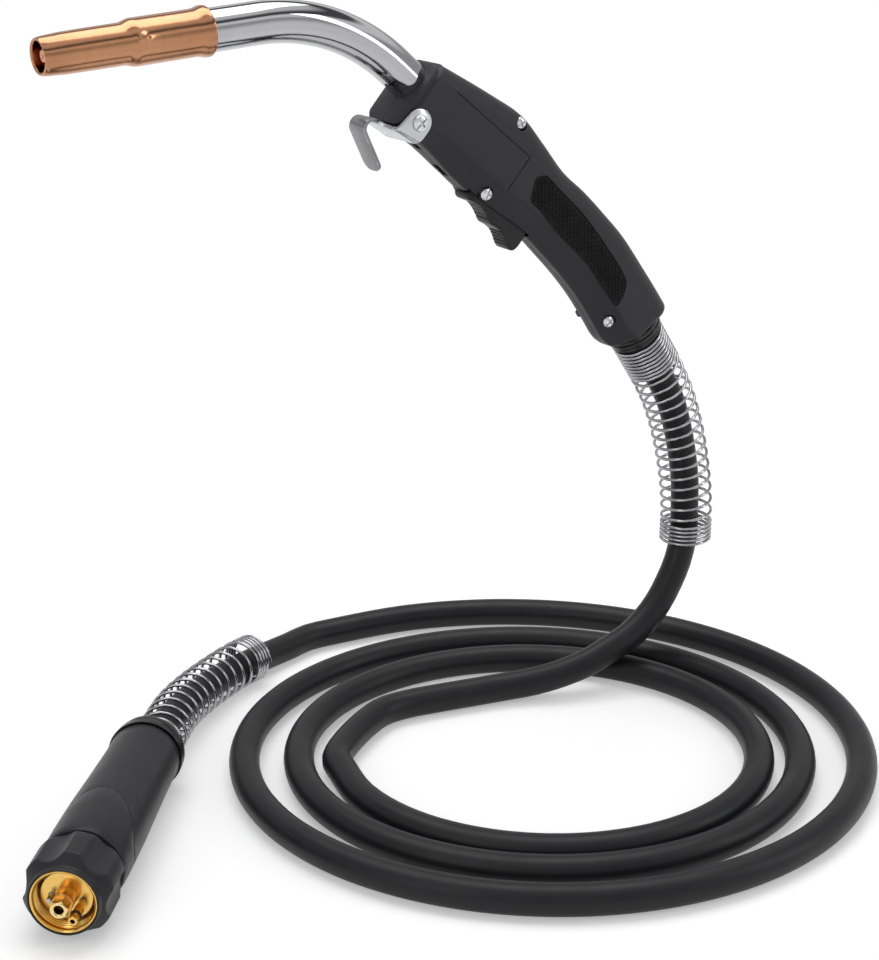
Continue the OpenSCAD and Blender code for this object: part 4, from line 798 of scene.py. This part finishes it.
def shellRings(inset, middle, frontSteps, rearSteps):
    rims = rimPoints()
    rings = [halfRing(*shifted(rims[0], rims[2], d), inset + sink, middle) for d, sink in frontSteps]
    front, rear = frontSteps[-1][0] + 0.6, rearSteps[-1][0] + 0.6
    rings += [halfRing(*rim, inset, middle) for rim in rims
              if (rim[0] - rims[0][0]).length > front and (rim[0] - rims[-1][0]).length > rear]
    rings += [halfRing(*shifted(rims[-1], rims[-3], d), inset + sink, middle) for d, sink in rearSteps[::-1]]
    return rings


def makeShell():
    h = handle
    piece = ringPiece("handleShellLeft",
                      shellRings(0, h["seam"], h["frontSteps"], roundSteps(h["rearRound"])))
    hollow = ringPiece("hollow", shellRings(h["wall"], -1, [(h["frontWall"], 0)], [(h["frontWall"], 0)]))
    bosses = [sideSpot(x, z, -1) for x, z, _ in h["screws"]]
    for place in bosses:
        cut(hollow, rodTool(h["boss"], -20, 3, place))
    cut(hollow, rodTool(h["boss"], -7, 3, sideSpot(*h["hookSpot"], -1)))
    cut(piece, hollow)
    cut(piece, rodTool(h["mouthBore"], -40, 20, mouthPlace, 64))
    cut(piece, rodTool(h["rearBore"], -20, 10, rearPlace, 64))
    wide = h["window"]
    cut(piece, boxTool((-6.8, -wide, -30), (37.7, wide, 1), triggerPlace))
    wide += 0.02      # the ear's room ends beyond the window's sides, since two cuts can't share a plane
    cut(piece, rodTool(h["earRoom"], -wide, wide, triggerPlace @ turn("X", 90)))
    for (x, z, sink), place in zip(h["screws"], bosses):
        cut(piece, rodTool(h["headHole"], -sink, 10, place))
        cut(piece, rodTool(h["shankHole"], -20, 4, place, 24))
    pad = [(p.x, p.y) for p in eased(h["pad"], 2.2, 4)]
    cut(piece, platePiece("padSeat", pad, h["padRecess"] - h["half"], -25))
    line = [Vector((x, 0, z)) for x, z in h["panel"]]
    for a, b in zip(line, line[1:]):
        run = b - a
        place = Matrix.Translation(a) @ turn("Y", -degrees(atan2(run.z, run.x)))
        cut(piece, boxTool((-h["grooveWidth"] / 2, -25, -h["grooveWidth"] / 2),
                           (run.length + h["grooveWidth"] / 2, h["grooveDepth"] - h["half"],
                            h["grooveWidth"] / 2), place))
    half = Vector(h["slotSize"]) / 2
    for x, z in h["slots"]:
        cut(piece, boxTool(-half, half, shift(x, 0, z) @ turn("Y", h["slotSlope"])))
    other = mirrorCopy(piece, "handleShellRight")
    bpy.ops.mesh.normals_make_consistent(inside=False)
    bpy.ops.object.mode_set(mode="OBJECT")
    settle(piece, asDrawn, "handlePlastic", "torch", "handle_left", angle=28)
    settle(other, asDrawn, "handlePlastic", "torch", "handle_right", angle=28)


makeShell()
print("handle shells made")

# grip pads: a raised rim round a field of small pyramids
pad = {"thick": 1.1, "proud": 0.3, "rim": 0.5, "sunk": 0.75, "pitch": 3.1, "stud": 1.42, "studHeight": 0.85}


def insideOutline(x, z, outline, clear):
    inside = False
    near = 1e9
    for (ax, az), (bx, bz) in zip(outline, outline[1:] + outline[:1]):
        if (az > z) != (bz > z) and x < (bx - ax) * (z - az) / (bz - az) + ax:
            inside = not inside
        run = Vector((bx - ax, bz - az))
        t = max(0, min(1, ((x - ax) * run.x + (z - az) * run.y) / run.length_squared))
        near = min(near, (Vector((ax, az)) + run * t - Vector((x, z))).length)
    return inside and near > clear


def makePads():
    outline = [(p.x, p.y) for p in eased(handle["pad"], 1.9, 4)]
    low = pad["thick"] - handle["half"]
    high = -handle["half"] - pad["proud"]
    piece = platePiece("gripPadLeft", outline, low, high)
    editAll(piece, "FACE")
    bpy.ops.mesh.select_all(action="DESELECT")
    mesh = bmesh.from_edit_mesh(piece.data)
    for face in mesh.faces:
        face.select_set(face.normal.y < -0.9)
    bmesh.update_edit_mesh(piece.data)
    bpy.ops.mesh.inset(thickness=pad["rim"])
    bpy.ops.transform.translate(value=(0, pad["sunk"], 0))
    bpy.ops.object.mode_set(mode="OBJECT")
    softenEdges(piece, 0.12, 2, 40)
    studs = []
    floor = high + pad["sunk"]
    along = Vector((0.72, 0, -0.694)).normalized()
    across = Vector((0.694, 0, 0.72)).normalized()
    freshSelection()
    bpy.ops.mesh.primitive_cone_add(vertices=4, radius1=pad["stud"], radius2=0.4, depth=pad["studHeight"],
                                    location=(0, 0, 0), rotation=(pi / 2, 0, 0))
    stud = bpy.context.object
    bake(stud)
    for i in range(-32, 33):
        for j in range(-8, 9):
            p = Vector((5, 0, -10)) + along * pad["pitch"] * i * 0.5
            p += across * pad["pitch"] * (j + 0.5 * (i % 2))
            if insideOutline(p.x, p.z, outline, pad["rim"] + 0.65):
                copy = stud.copy()
                copy.data = stud.data.copy()
                spot = (p.x, floor - pad["studHeight"] / 2, p.z)
                copy.matrix_world = Matrix.Translation(spot) @ turn("Y", 44)
                scene.collection.objects.link(copy)
                studs.append(copy)
    bpy.data.objects.remove(stud, do_unlink=True)
    piece = joinPieces([piece] + studs)
    other = mirrorCopy(piece, "gripPadRight")
    bpy.ops.mesh.flip_normals()
    bpy.ops.object.mode_set(mode="OBJECT")
    settle(piece, asDrawn, "gripRubber", "torch", "grip_pad_left")
    settle(other, asDrawn, "gripRubber", "torch", "grip_pad_right")
    print("grip pads made:", len(studs), "studs a side")


makePads()

# screws
screws = {"radius": 3, "height": 1.8, "shank": 1.5, "hookRadius": 3.8, "hookHeight": 1.7}


def screwPiece(name, radius, height, shank, length, swing):
    outline = [(0, -length), (shank - 0.3, -length), (shank, 0.3 - length), (shank, 0), (radius - 0.15, 0),
               (radius, 0.15), (radius, height * 0.45), (radius * 0.93, height * 0.72),
               (radius * 0.75, height * 0.93), (radius * 0.5, height), (0, height)]
    piece = turnedPiece(name, outline, 48)
    wide = radius * 0.26
    place = turn("Z", swing)
    cut(piece, boxTool((-radius * 2, -wide / 2, height * 0.52), (radius * 2, wide / 2, height + 2), place))
    reach = radius * 0.62      # the cross is deeper in the middle
    cut(piece, boxTool((-wide / 2, -reach, height * 0.35), (wide / 2, reach, height + 2), place))
    return piece


def makeScrews():
    heads = []
    for k, (x, z, sink) in enumerate(handle["screws"]):
        screw = screwPiece("handleScrews", screws["radius"], screws["height"], screws["shank"], 31 - 2 * sink,
                           (20, 65, 40)[k])
        screw.matrix_world = sideSpot(x, z, -1) @ shift(0, 0, -sink)
        heads.append(screw)
    settle(joinPieces(heads), asDrawn, "steel", "torch", "handle_screws")
    screw = screwPiece("hookScrew", screws["hookRadius"], screws["hookHeight"], screws["shank"], 8.5, 38)
    settle(screw, sideSpot(*handle["hookSpot"], -1) @ shift(0, 0, 1.75), "steel", "torch", "hook_screw")


makeScrews()
print("screws made")

# hanger hook: a lug on the left side, folded under the handle, and the strip that bends over to hang by
hook = {"thick": 1.6, "width": 12.5, "lug": 6.4, "out": 15.65, "drop": 7.45, "fold": 1.4, "edge": 0.35,
        "tipRound": 4.5, "bendAt": -13.3, "bendRadius": 3.2, "bendTurn": 150, "leg": 20, "stripFrom": -8,
        "plateFront": 12.4, "plateRear": 3.4,
        "corner": ((-12.6, 9.2), (-11.2, 9.5), (-9.8, 9.9), (-8.6, 10.5), (-7.5, 11.2), (-6.7, 11.9),
                   (-6.25, 12.4))}


def stripRing(middle, side, normal, half, thick, edge):      # a flat bar's rounded section
    corners = eased([(-half[0], -thick / 2), (half[1], -thick / 2), (half[1], thick / 2),
                     (-half[0], thick / 2)], edge, 2)
    return [middle + side * p.x + normal * p.y for p in corners]


def makeHook():
    k = hook
    middle, low, fold = -k["out"] - k["thick"] / 2, -k["drop"] - k["thick"] / 2, k["fold"] + k["thick"] / 2
    line = []      # across, down, and how far the plate reaches to the front and to the rear
    for a in (89, 75, 60, 45, 30, 15, 0):
        reach = k["lug"] * cos(radians(a))
        line.append((middle, k["lug"] * sin(radians(a)), reach, reach))
    line += [(middle, -2, 7.0, 6.2), (middle, -4, 7.6, 5.9)]
    for a in (0, 18, 36, 54, 72, 90):
        t = a / 90
        line.append((middle + fold * (1 - cos(radians(a))), low + fold * (1 - sin(radians(a))), 8.2 + t,
                     5.4 - 2 * t))
    line += [(y, low, front, k["plateRear"]) for y, front in k["corner"]]
    line += [(y, low, k["plateFront"], k["plateRear"]) for y in (-4, 0, 4, k["width"] / 2)]
    rings = []
    for i, (y, z, front, rear) in enumerate(line):
        before, after = line[max(i - 1, 0)], line[min(i + 1, len(line) - 1)]
        run = Vector((0, after[0] - before[0], after[1] - before[1])).normalized()
        rings.append(stripRing(Vector((0, y, z)), Vector((1, 0, 0)), run.cross(Vector((1, 0, 0))),
                               (front, rear), k["thick"], k["edge"]))
    plate = ringPiece("hangerHook", rings)

    r = k["bendRadius"] + k["thick"] / 2
    path = [Vector((x, 0, low)) for x in (k["stripFrom"], -10, -k["plateFront"], -k["plateFront"] - 0.1)]
    path += [Vector((k["bendAt"] - r * sin(radians(a)), 0, low - r + r * cos(radians(a))))
             for a in range(0, k["bendTurn"] + 1, 10)]
    down = Vector((-cos(radians(k["bendTurn"])), 0, -sin(radians(k["bendTurn"]))))
    flat, tip = k["leg"] - k["tipRound"], k["tipRound"]
    legTop = path[-1].copy()
    path += [legTop + down * d for d in (2, 5, 9, flat)]
    path += [legTop + down * (flat + tip * sin(radians(a))) for a in (15, 30, 45, 58, 70, 80, 88)]
    rings = []
    for i, p in enumerate(path):
        run = (path[min(i + 1, len(path) - 1)] - path[max(i - 1, 0)]).normalized()
        inside = 0.02 if i < 3 else 0      # just under the plate's faces
        gone = max(0, (p - legTop).dot(down) - flat)
        half = k["width"] / 2 - inside - (tip - sqrt(tip ** 2 - gone ** 2))
        rings.append(stripRing(p, Vector((0, 1, 0)), Vector((0, 1, 0)).cross(run), (half, half),
                               k["thick"] - 2 * inside, k["edge"]))
    leg = ringPiece("hookLeg", rings)
    settle(plate, hookPlace, "hookSteel", "torch", "hanger_hook", angle=50)
    # the leg takes the painted-shade copy of the hook's steel
    settle(leg, hookPlace, "hookSteelPaintedShade", "torch", "hanger_hook", angle=50)


makeHook()
print("hanger hook bent")

# trigger
trigger = {"width": 11, "edge": 0.6, "ear": 5.2, "bore": 2.6, "ribRadius": 0.55,
           "outline": ((-5, -2), (-5.5, -4.2), (-3.4, -6.1), (0, -5.6), (3.3, -4.9), (8.6, -6.3),
                       (12.6, -8.6), (15.2, -9.9), (18.5, -9.4), (22.6, -9.8), (26.2, -11.6), (29.2, -13.9),
                       (32.2, -15), (34.2, -14.2), (35.6, -11.4), (36.3, -6), (36.3, -2), (34.9, -0.7)),
           "frontRibs": (3.6, -4.9, 2.1, -0.84), "rearRibs": (22.6, -9.7, 1.6, -0.98), "ribs": 5}


def makeTrigger():
    t = trigger
    outline = [(p.x, p.y) for p in eased(t["outline"], 2.4, 4, closed=False)]
    outline += [(t["ear"] * cos(radians(a)), t["ear"] * sin(radians(a))) for a in range(-7, 197, 12)]
    piece = platePiece("trigger", outline, -t["width"] / 2, t["width"] / 2)
    softenEdges(piece, t["edge"], 3, 50)
    cut(piece, rodTool(t["bore"], -12, 12, turn("X", 90)))
    for x, z, stepX, stepZ in (t["frontRibs"], t["rearRibs"]):
        for k in range(t["ribs"]):
            place = shift(x + k * stepX, 0, z + k * stepZ) @ turn("X", 90)
            cut(piece, rodTool(t["ribRadius"], -10, 10, place, 16))
    settle(piece, triggerPlace, "triggerPlastic", "trigger", "trigger")


makeTrigger()
print("trigger made")

# bush between the handle and its spring
bush = {"ringRadius": 14.6, "ringLength": 7.5, "seatRadius": 11.33, "bore": 7.55}


def makeBush():
    b = bush
    r = b["ringRadius"]
    outline = [(b["bore"], -6.05), (12.8, -6.05), (13, -5.85), (13, -3.05), (11.6, -3.05), (11.6, 0.15),
               (r - 0.5, 0.15), (r - 0.1, 0.4), (r, 0.9), (r, 1.9), (r - 0.15, 2.2), (r - 0.75, 2.45),
               (r - 0.75, 2.75), (r - 0.15, 3.0), (r, 3.3), (r, 4.5), (r - 0.15, 4.8), (r - 0.75, 5.05),
               (r - 0.75, 5.3), (r - 0.4, 5.5), (r - 0.35, 6.9), (r - 0.8, b["ringLength"]),
               (b["seatRadius"], b["ringLength"]), (b["seatRadius"], 21.9), (10.8, 22.5), (b["bore"], 22.5)]
    settle(turnedPiece("cableBush", outline), rearPlace, "bushRubber", "torch", "cable_bush")


makeBush()
print("bush made")

# machine connector, drawn from the collar's front plane backwards
connector = {"housingFrom": -29, "housingTo": -137, "housingRadius": 19.3, "tailRadius": 17.3, "tongue": 39,
             "band": 3, "core": 15.2, "line": 0.3, "bodyBore": 11.7, "collarRadius": 20.5, "rimRadius": 15.9,
             "sides": 180, "hollowAt": 31, "hollowRadius": 13.5, "hollowTurn": 20,
             "threadRadius": 14.9, "threadBore": 13.2, "teeth": 96, "blockRadius": 11.5, "face": -6,
             "plugRadius": 4.5, "gasSpot": (5.95, 5.15), "gasRadius": 2.1, "signals": (182, 270),
             "signalPitch": 6.4, "seatRadius": 3.9, "pinEnd": 1.5, "nutRadius": 4.2, "nutLength": 5}


def lobeRadius(angle):      # outline of the collar: a circle with hollows for the fingers
    c = connector
    out, hollow = c["hollowAt"], c["hollowRadius"]
    off = (degrees(angle) - c["hollowTurn"] + 30) % 60 - 30
    s = out * sin(radians(off))
    r = c["collarRadius"]
    if abs(s) < hollow:
        r = min(r, out * cos(radians(off)) - sqrt(hollow ** 2 - s * s))
    return max(r, c["rimRadius"])


def makeCollar():
    c = connector
    rim, big = c["rimRadius"], c["collarRadius"]
    caps = [(0, rim - 0.7), (-0.15, rim - 0.25), (-0.6, rim), (-1.8, rim), (-3, rim), (-3.4, rim + 0.3)]
    caps += [(-3.4 - 0.5 * k, rim + 0.3 + 0.5 * k) for k in range(1, 9)]
    caps += [(-7.7, big - 0.15), (-8.3, big), (-12, big), (-16, big), (-20, big), (-24, big),
             (-24.6, big - 0.15)]
    caps += [(-25.6, big - 0.7), (-26.6, big - 1.25), (-27.4, big - 1.8), (-27.85, big - 2.3),
             (-28, big - 2.9)]
    rings = []
    for z, cap in caps:
        radii = []
        for k in range(c["sides"]):
            lobe = lobeRadius(2 * pi * k / c["sides"])
            low, high = min(lobe, cap), max(lobe, cap)
            # an eased edge where the two shapes meet
            radii.append(low - 0.1 * max(0, 1 - (high - low) / 0.45) ** 2)
        rings.append(ringAt(radii, z))
    for z, r in ((-28, 12.6), (-27.8, 12.1), (-20.4, 12.1), (-20.3, 15), (-0.6, 15), (-0.15, 15.05)):
        rings.append(ringAt([r] * c["sides"], z))
    settle(ringPiece("collarNut", rings, closed=True), connectorPlace, "connectorPlastic", "collar",
           "collar_nut", angle=40)


def makeThreadRing():
    c = connector
    count = c["teeth"] * 2
    out, bore = c["threadRadius"], c["threadBore"]
    outline = [(out - 0.02, -20.3, 0), (out - 0.02, -2, 0), (out, -1.2, 0.35), (out, -0.45, 0.35),
               (out - 0.25, -0.32, 0.2), (out - 0.6, -0.3, 0), (bore + 1.0, -0.3, 0), (bore + 0.75, -0.45, 0),
               (bore + 0.1, -1.35, 0)]
    z = -2.2
    while z > -14.4:      # the thread's turns
        outline += [(bore, z, 0), (bore, z - 0.35, 0), (bore + 0.55, z - 0.85, 0), (bore + 0.55, z - 1.0, 0)]
        z -= 1.5
    outline += [(bore, z, 0), (bore, -15.25, 0), (11.6, -15.3, 0), (11.55, -20.3, 0)]
    rings = [ringAt([r - tooth * (k % 2) for k in range(count)], z) for r, z, tooth in outline]
    settle(ringPiece("threadRing", rings, closed=True), connectorPlace, "brass", "collar", "collar_thread",
           angle=30)


def tongueOutline(grow):      # the sleeve's arched front parts, seen from the side
    c = connector
    front, reach = c["housingFrom"], c["tongue"] + grow
    side = (c["housingRadius"] + 1.4) * (reach / c["tongue"])
    arc = [(front - reach * cos(radians(a)), side * sin(radians(a))) for a in range(-84, 85, 3)]
    edge = front - c["band"] - grow
    arc = [p for p in arc if p[0] < edge - 0.2]
    return ([(front + 2, -40), (edge, -40), (edge, arc[0][1])] + arc
            + [(edge, arc[-1][1]), (edge, 40), (front + 2, 40)])


def housingOutline(bore):
    c = connector
    a, b = c["housingFrom"], c["housingTo"]
    r, q = c["housingRadius"], c["tailRadius"]
    return [(bore, a), (r - 1.3, a), (r - 0.7, a - 0.25), (r - 0.4, a - 0.9), (r - 0.15, a - 5), (r, a - 12),
            (r - 0.1, a - 25), (r - 0.4, b + 66), (r - 1.0, b + 50), (q + 0.6, b + 36), (q + 0.15, b + 21),
            (q, b + 10), (q, b + 1.4), (q - 0.35, b + 0.45), (q - 1.2, b), (bore, b)]


def tongueTool(grow):
    outline = tongueOutline(grow)
    rings = [[(x, y, z) for z, y in outline] for x in (-60, 60)]
    return ringPiece("tongueTool", rings)


def makeHousing():
    c = connector
    sleeve = turnedPiece("connectorSleeve", housingOutline(c["core"]), 128)
    cut(sleeve, tongueTool(0), "INTERSECT")
    body = turnedPiece("connectorHousing", housingOutline(c["bodyBore"]), 128)
    seat = tongueTool(c["line"])
    cut(seat, rodTool(c["core"] - c["line"], -200, 10, sides=96))
    cut(body, seat)
    softenEdges(sleeve, 0.3, 2, 40)
    softenEdges(body, 0.3, 2, 40)
    settle(sleeve, connectorPlace, "connectorPlastic", "torch", "connector_sleeve", angle=30)
    settle(body, connectorPlace, "connectorPlastic", "torch", "connector_housing", angle=30)


tailRing = {"radius": 18.1, "bore": 7.55, "seatRadius": 11.1, "cutAt": -137.15, "tenonRadius": 11.5,
            "tenon": (-140.1, -132.5), "tenonBore": 7.6}


def makeTailRing():      # three ridges behind the housing, cut off flush with it
    ring = tailRing
    r, bore, seat = ring["radius"], ring["bore"], ring["seatRadius"]
    ridges = [(bore, -21), (seat, -21), (seat, -9), (r - 1.8, -9), (r - 1.1, -8.7), (r - 0.9, -8.2),
              (r - 0.9, -6.9), (r - 1.2, -6.6), (r - 1.7, -6.35), (r - 1.7, -6.1), (r - 0.9, -5.75),
              (r - 0.35, -5.4), (r - 0.3, -4.2), (r - 0.5, -3.85), (r - 1.1, -3.6), (r - 1.1, -3.35),
              (r - 0.4, -3.1), (r, -2.8), (r, 5), (bore, 5)]
    piece = turnedPiece("tailRing", ridges)
    piece.matrix_world = tailPlace
    bake(piece)
    front = connectorPlace @ Vector((0, 0, ring["cutAt"]))
    editAll(piece)
    bpy.ops.mesh.bisect(plane_co=front, plane_no=axisOut(*connectorAim), use_fill=True, clear_outer=True)
    bpy.ops.object.mode_set(mode="OBJECT")
    tenon = rodTool(ring["tenonRadius"], *ring["tenon"], connectorPlace, 64)
    bake(tenon)
    cut(tenon, rodTool(ring["tenonBore"], -200, -100, connectorPlace, 48))
    settle(joinPieces([piece, tenon]), asDrawn, "bushRubber", "torch", "connector_bush", angle=35)


def makeBrass():
    c = connector
    f = c["face"]
    signals = [(-c["signalPitch"] * sin(radians(a)), c["signalPitch"] * cos(radians(a)))
               for a in c["signals"]]
    block = turnedPiece("connectorBlock", eased([
        (c["seatRadius"], f), (c["blockRadius"] - 0.1, f), (c["blockRadius"], f - 0.4),
        (c["blockRadius"], -13.8), (10.5, -13.8), (10.5, -15.2), (c["blockRadius"], -15.2),
        (c["blockRadius"], -58), (2, -58), (2, -30), (c["seatRadius"], -30)], 0.12))
    cut(block, rodTool(c["gasRadius"], f - 10, f + 1, shift(*c["gasSpot"], 0)))
    for x, y in signals:
        cut(block, rodTool(1.75, f - 16, f + 1, shift(x, y, 0), 32))
    settle(block, connectorPlace, "brass", "torch", "connector_block")
    r, top = c["plugRadius"], c["pinEnd"]
    plug = turnedPiece("plugPin",
                       eased([(2, -30), (c["seatRadius"], -30), (c["seatRadius"], f), (r, f), (r, top - 1.3),
                              (r - 0.35, top - 1.1), (r - 0.35, top - 0.7), (r, top - 0.5), (r, top),
                              (2, top)], 0.15), 64)
    settle(plug, connectorPlace, "orangeBrass", "torch", "plug_pin")
    n, high = c["nutRadius"], top + c["nutLength"]
    nut = turnedPiece("linerNut",
                      eased([(2, top), (n, top), (n, high - 0.9), (n - 0.7, high), (2.6, high),
                             (2, high - 0.6)], 0.2), 66)
    for k in range(6):
        cut(nut, boxTool((n * cos(pi / 6), -6, top - 1), (8, 6, high + 1), turn("Z", 60 * k + 10)))
    settle(nut, connectorPlace, "paleBrass", "torch", "liner_nut")
    x, y = c["gasSpot"]
    gas = turnedPiece("gasPin",
                      eased([(0.95, f - 10), (c["gasRadius"], f - 10), (c["gasRadius"], f + 5.0),
                             (1.6, f + 5.1), (1.6, f + 5.9), (c["gasRadius"], f + 6),
                             (c["gasRadius"], f + 10.1), (c["gasRadius"] - 0.3, f + 10.5), (1.15, f + 10.5),
                             (0.95, f + 10.2)], 0.12), 48)
    settle(gas, connectorPlace @ shift(x, y, 0), "brass", "torch", "gas_pin")
    seal = turnedPiece("gasSeal", [(c["gasRadius"] + 0.55 * cos(radians(a)), f + 5.5 + 0.55 * sin(radians(a)))
                                   for a in range(0, 360, 24)], 48)
    settle(seal, connectorPlace @ shift(x, y, 0), "bushRubber", "torch", "gas_seal")
    sleeves = []
    for k, (x, y) in enumerate(signals):
        sleeve = turnedPiece("signalSleeves",
                             eased([(1.35, f - 15), (1.35, f - 0.2), (1.45, f), (1.75, f), (1.75, f - 16),
                                    (0, f - 16), (0, f - 15)], 0.06), 32)
        sleeve.matrix_world = shift(x, y, 0)
        sleeves.append(sleeve)
        tipAt = f + 5
        pin = turnedPiece("signalPin" + "AB"[k],
                          [(0, f - 11.5), (1.3, f - 11.5), (1.3, tipAt - 0.6), (1.15, tipAt - 0.2),
                           (0.8, tipAt), (0, tipAt + 0.02)], 32)
        settle(pin, connectorPlace @ shift(x, y, 0), "silverPin", "signal_" + "ab"[k],
               "signal_pin_" + "ab"[k])
    settle(joinPieces(sleeves), connectorPlace, "ceramic", "torch", "signal_sleeves")


makeCollar()
makeThreadRing()
makeHousing()
makeTailRing()
makeBrass()
print("connector made")

# CAD nodes that keep their shape take their finish here
nodeFinish = {"nozzle_insulator": "fibre", "neck_insulation": "neckSleeve", "neck_conductor": "tipCopper",
              "wire_liner": "springSteel", "neck_nut": "brass", "cable_joint": "brass",
              "handle_nuts": "blackSteel", "trigger_pin": "blackSteel", "trigger_switch": "triggerPlastic",
              "switch_plunger": "redPlastic", "switch_leads": "leadSkin", "collar_circlip": "springSteel"}
for node, finish in nodeFinish.items():
    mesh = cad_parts[node].data
    mesh.materials.clear()
    mesh.materials.append(finishes[finish])

# floor, light and world
studio = {"floorWhite": 0.82, "floorGlow": 0.34, "fadeFrom": 0.3, "fadeTo": 0.75, "worldLight": 0.42}


def makeFloor():
    freshSelection()
    bpy.ops.mesh.primitive_plane_add(size=12, location=(0, 0, floorAt * mm - 0.0001))
    floor = bpy.context.object
    floor.name = "studioFloor"
    material = bpy.data.materials.new("studioWhite")
    material.use_nodes = True
    tree = material.node_tree
    tree.nodes.clear()
    matt = addNode(tree, "ShaderNodeBsdfDiffuse", {"Color": (studio["floorWhite"],) * 3 + (1,)})
    glow = addNode(tree, "ShaderNodeEmission", {"Color": (1, 1, 1, 1), "Strength": studio["floorGlow"]})
    both = addNode(tree, "ShaderNodeAddShader", {0: matt.outputs[0], 1: glow.outputs[0]})
    rays = addNode(tree, "ShaderNodeLightPath")
    direct = calc(tree, "MAXIMUM", rays.outputs["Is Camera Ray"], rays.outputs["Is Glossy Ray"])
    seen = calc(tree, "MAXIMUM", direct, rays.outputs["Is Transmission Ray"])
    place = addNode(tree, "ShaderNodeTexCoord").outputs["Object"]
    away = addNode(tree, "ShaderNodeVectorMath", {0: place}, operation="LENGTH").outputs["Value"]
    far = mapped(tree, away, studio["fadeFrom"], studio["fadeTo"], interpolation_type="SMOOTHSTEP")
    white = addNode(tree, "ShaderNodeEmission", {"Color": (1, 1, 1, 1), "Strength": 1.0})
    faded = addNode(tree, "ShaderNodeMixShader", {0: far, 1: both.outputs[0], 2: white.outputs[0]})
    pick = addNode(tree, "ShaderNodeMixShader", {0: seen, 1: matt.outputs[0], 2: faded.outputs[0]})
    addNode(tree, "ShaderNodeOutputMaterial", {"Surface": pick.outputs[0]})
    floor.data.materials.append(material)


def makeWorld():
    world = bpy.data.worlds.new("studioWorld")
    scene.world = world
    world.use_nodes = True
    tree = world.node_tree
    tree.nodes.clear()
    rays = addNode(tree, "ShaderNodeLightPath")
    toward = addNode(tree, "ShaderNodeTexCoord").outputs["Generated"]
    parts = addNode(tree, "ShaderNodeSeparateXYZ", {"Vector": toward})
    bands = addNode(tree, "ShaderNodeValToRGB", {"Fac": mapped(tree, parts.outputs["Z"], -1, 1)})
    stops = ((0.0, 0.9), (0.52, 0.9), (0.58, 0.55), (0.66, 0.5), (0.70, 1.0), (0.76, 1.0), (0.79, 0.12),
             (0.84, 0.10), (0.88, 0.85), (0.95, 0.95), (1.0, 0.5))
    ramp = bands.color_ramp
    ramp.elements.remove(ramp.elements[0])
    ramp.elements[0].position, ramp.elements[0].color = stops[0][0], (stops[0][1],) * 3 + (1,)
    for at, value in stops[1:]:
        ramp.elements.new(at).color = (value, value, value, 1)
    plain = addNode(tree, "ShaderNodeBackground", {"Color": (1, 1, 1, 1), "Strength": studio["worldLight"]})
    mirrored = addNode(tree, "ShaderNodeBackground", {"Color": bands.outputs["Color"], "Strength": 1.0})
    white = addNode(tree, "ShaderNodeBackground", {"Color": (1, 1, 1, 1), "Strength": 1.0})
    first = addNode(tree, "ShaderNodeMixShader", {0: rays.outputs["Is Glossy Ray"], 1: plain.outputs[0],
                                                  2: mirrored.outputs[0]})
    clear = calc(tree, "MAXIMUM", rays.outputs["Is Camera Ray"], rays.outputs["Is Transmission Ray"])
    last = addNode(tree, "ShaderNodeMixShader", {0: clear, 1: first.outputs[0], 2: white.outputs[0]})
    addNode(tree, "ShaderNodeOutputWorld", {"Surface": last.outputs[0]})


def addLamp(name, place, target, size, power):
    freshSelection()
    aim = (Vector(target) - Vector(place)).to_track_quat("-Z", "Y").to_euler()
    bpy.ops.object.light_add(type="AREA", location=place, rotation=aim)
    lamp = bpy.context.object
    lamp.name = name
    lamp.data.shape = "RECTANGLE"
    lamp.data.size, lamp.data.size_y = size
    lamp.data.energy = power


makeFloor()
makeWorld()
addLamp("topSoftbox", (0.1, 0.35, 1.5), (-0.05, 0, -0.1), (1.6, 1.2), 16)
addLamp("leftSoftbox", (-1.5, -0.5, 0.7), (-0.1, 0, -0.1), (0.5, 1.2), 3)
addLamp("rightStrip", (0.9, -1.0, 0.5), (0, 0, -0.1), (0.25, 1.0), 3)
print("studio set")
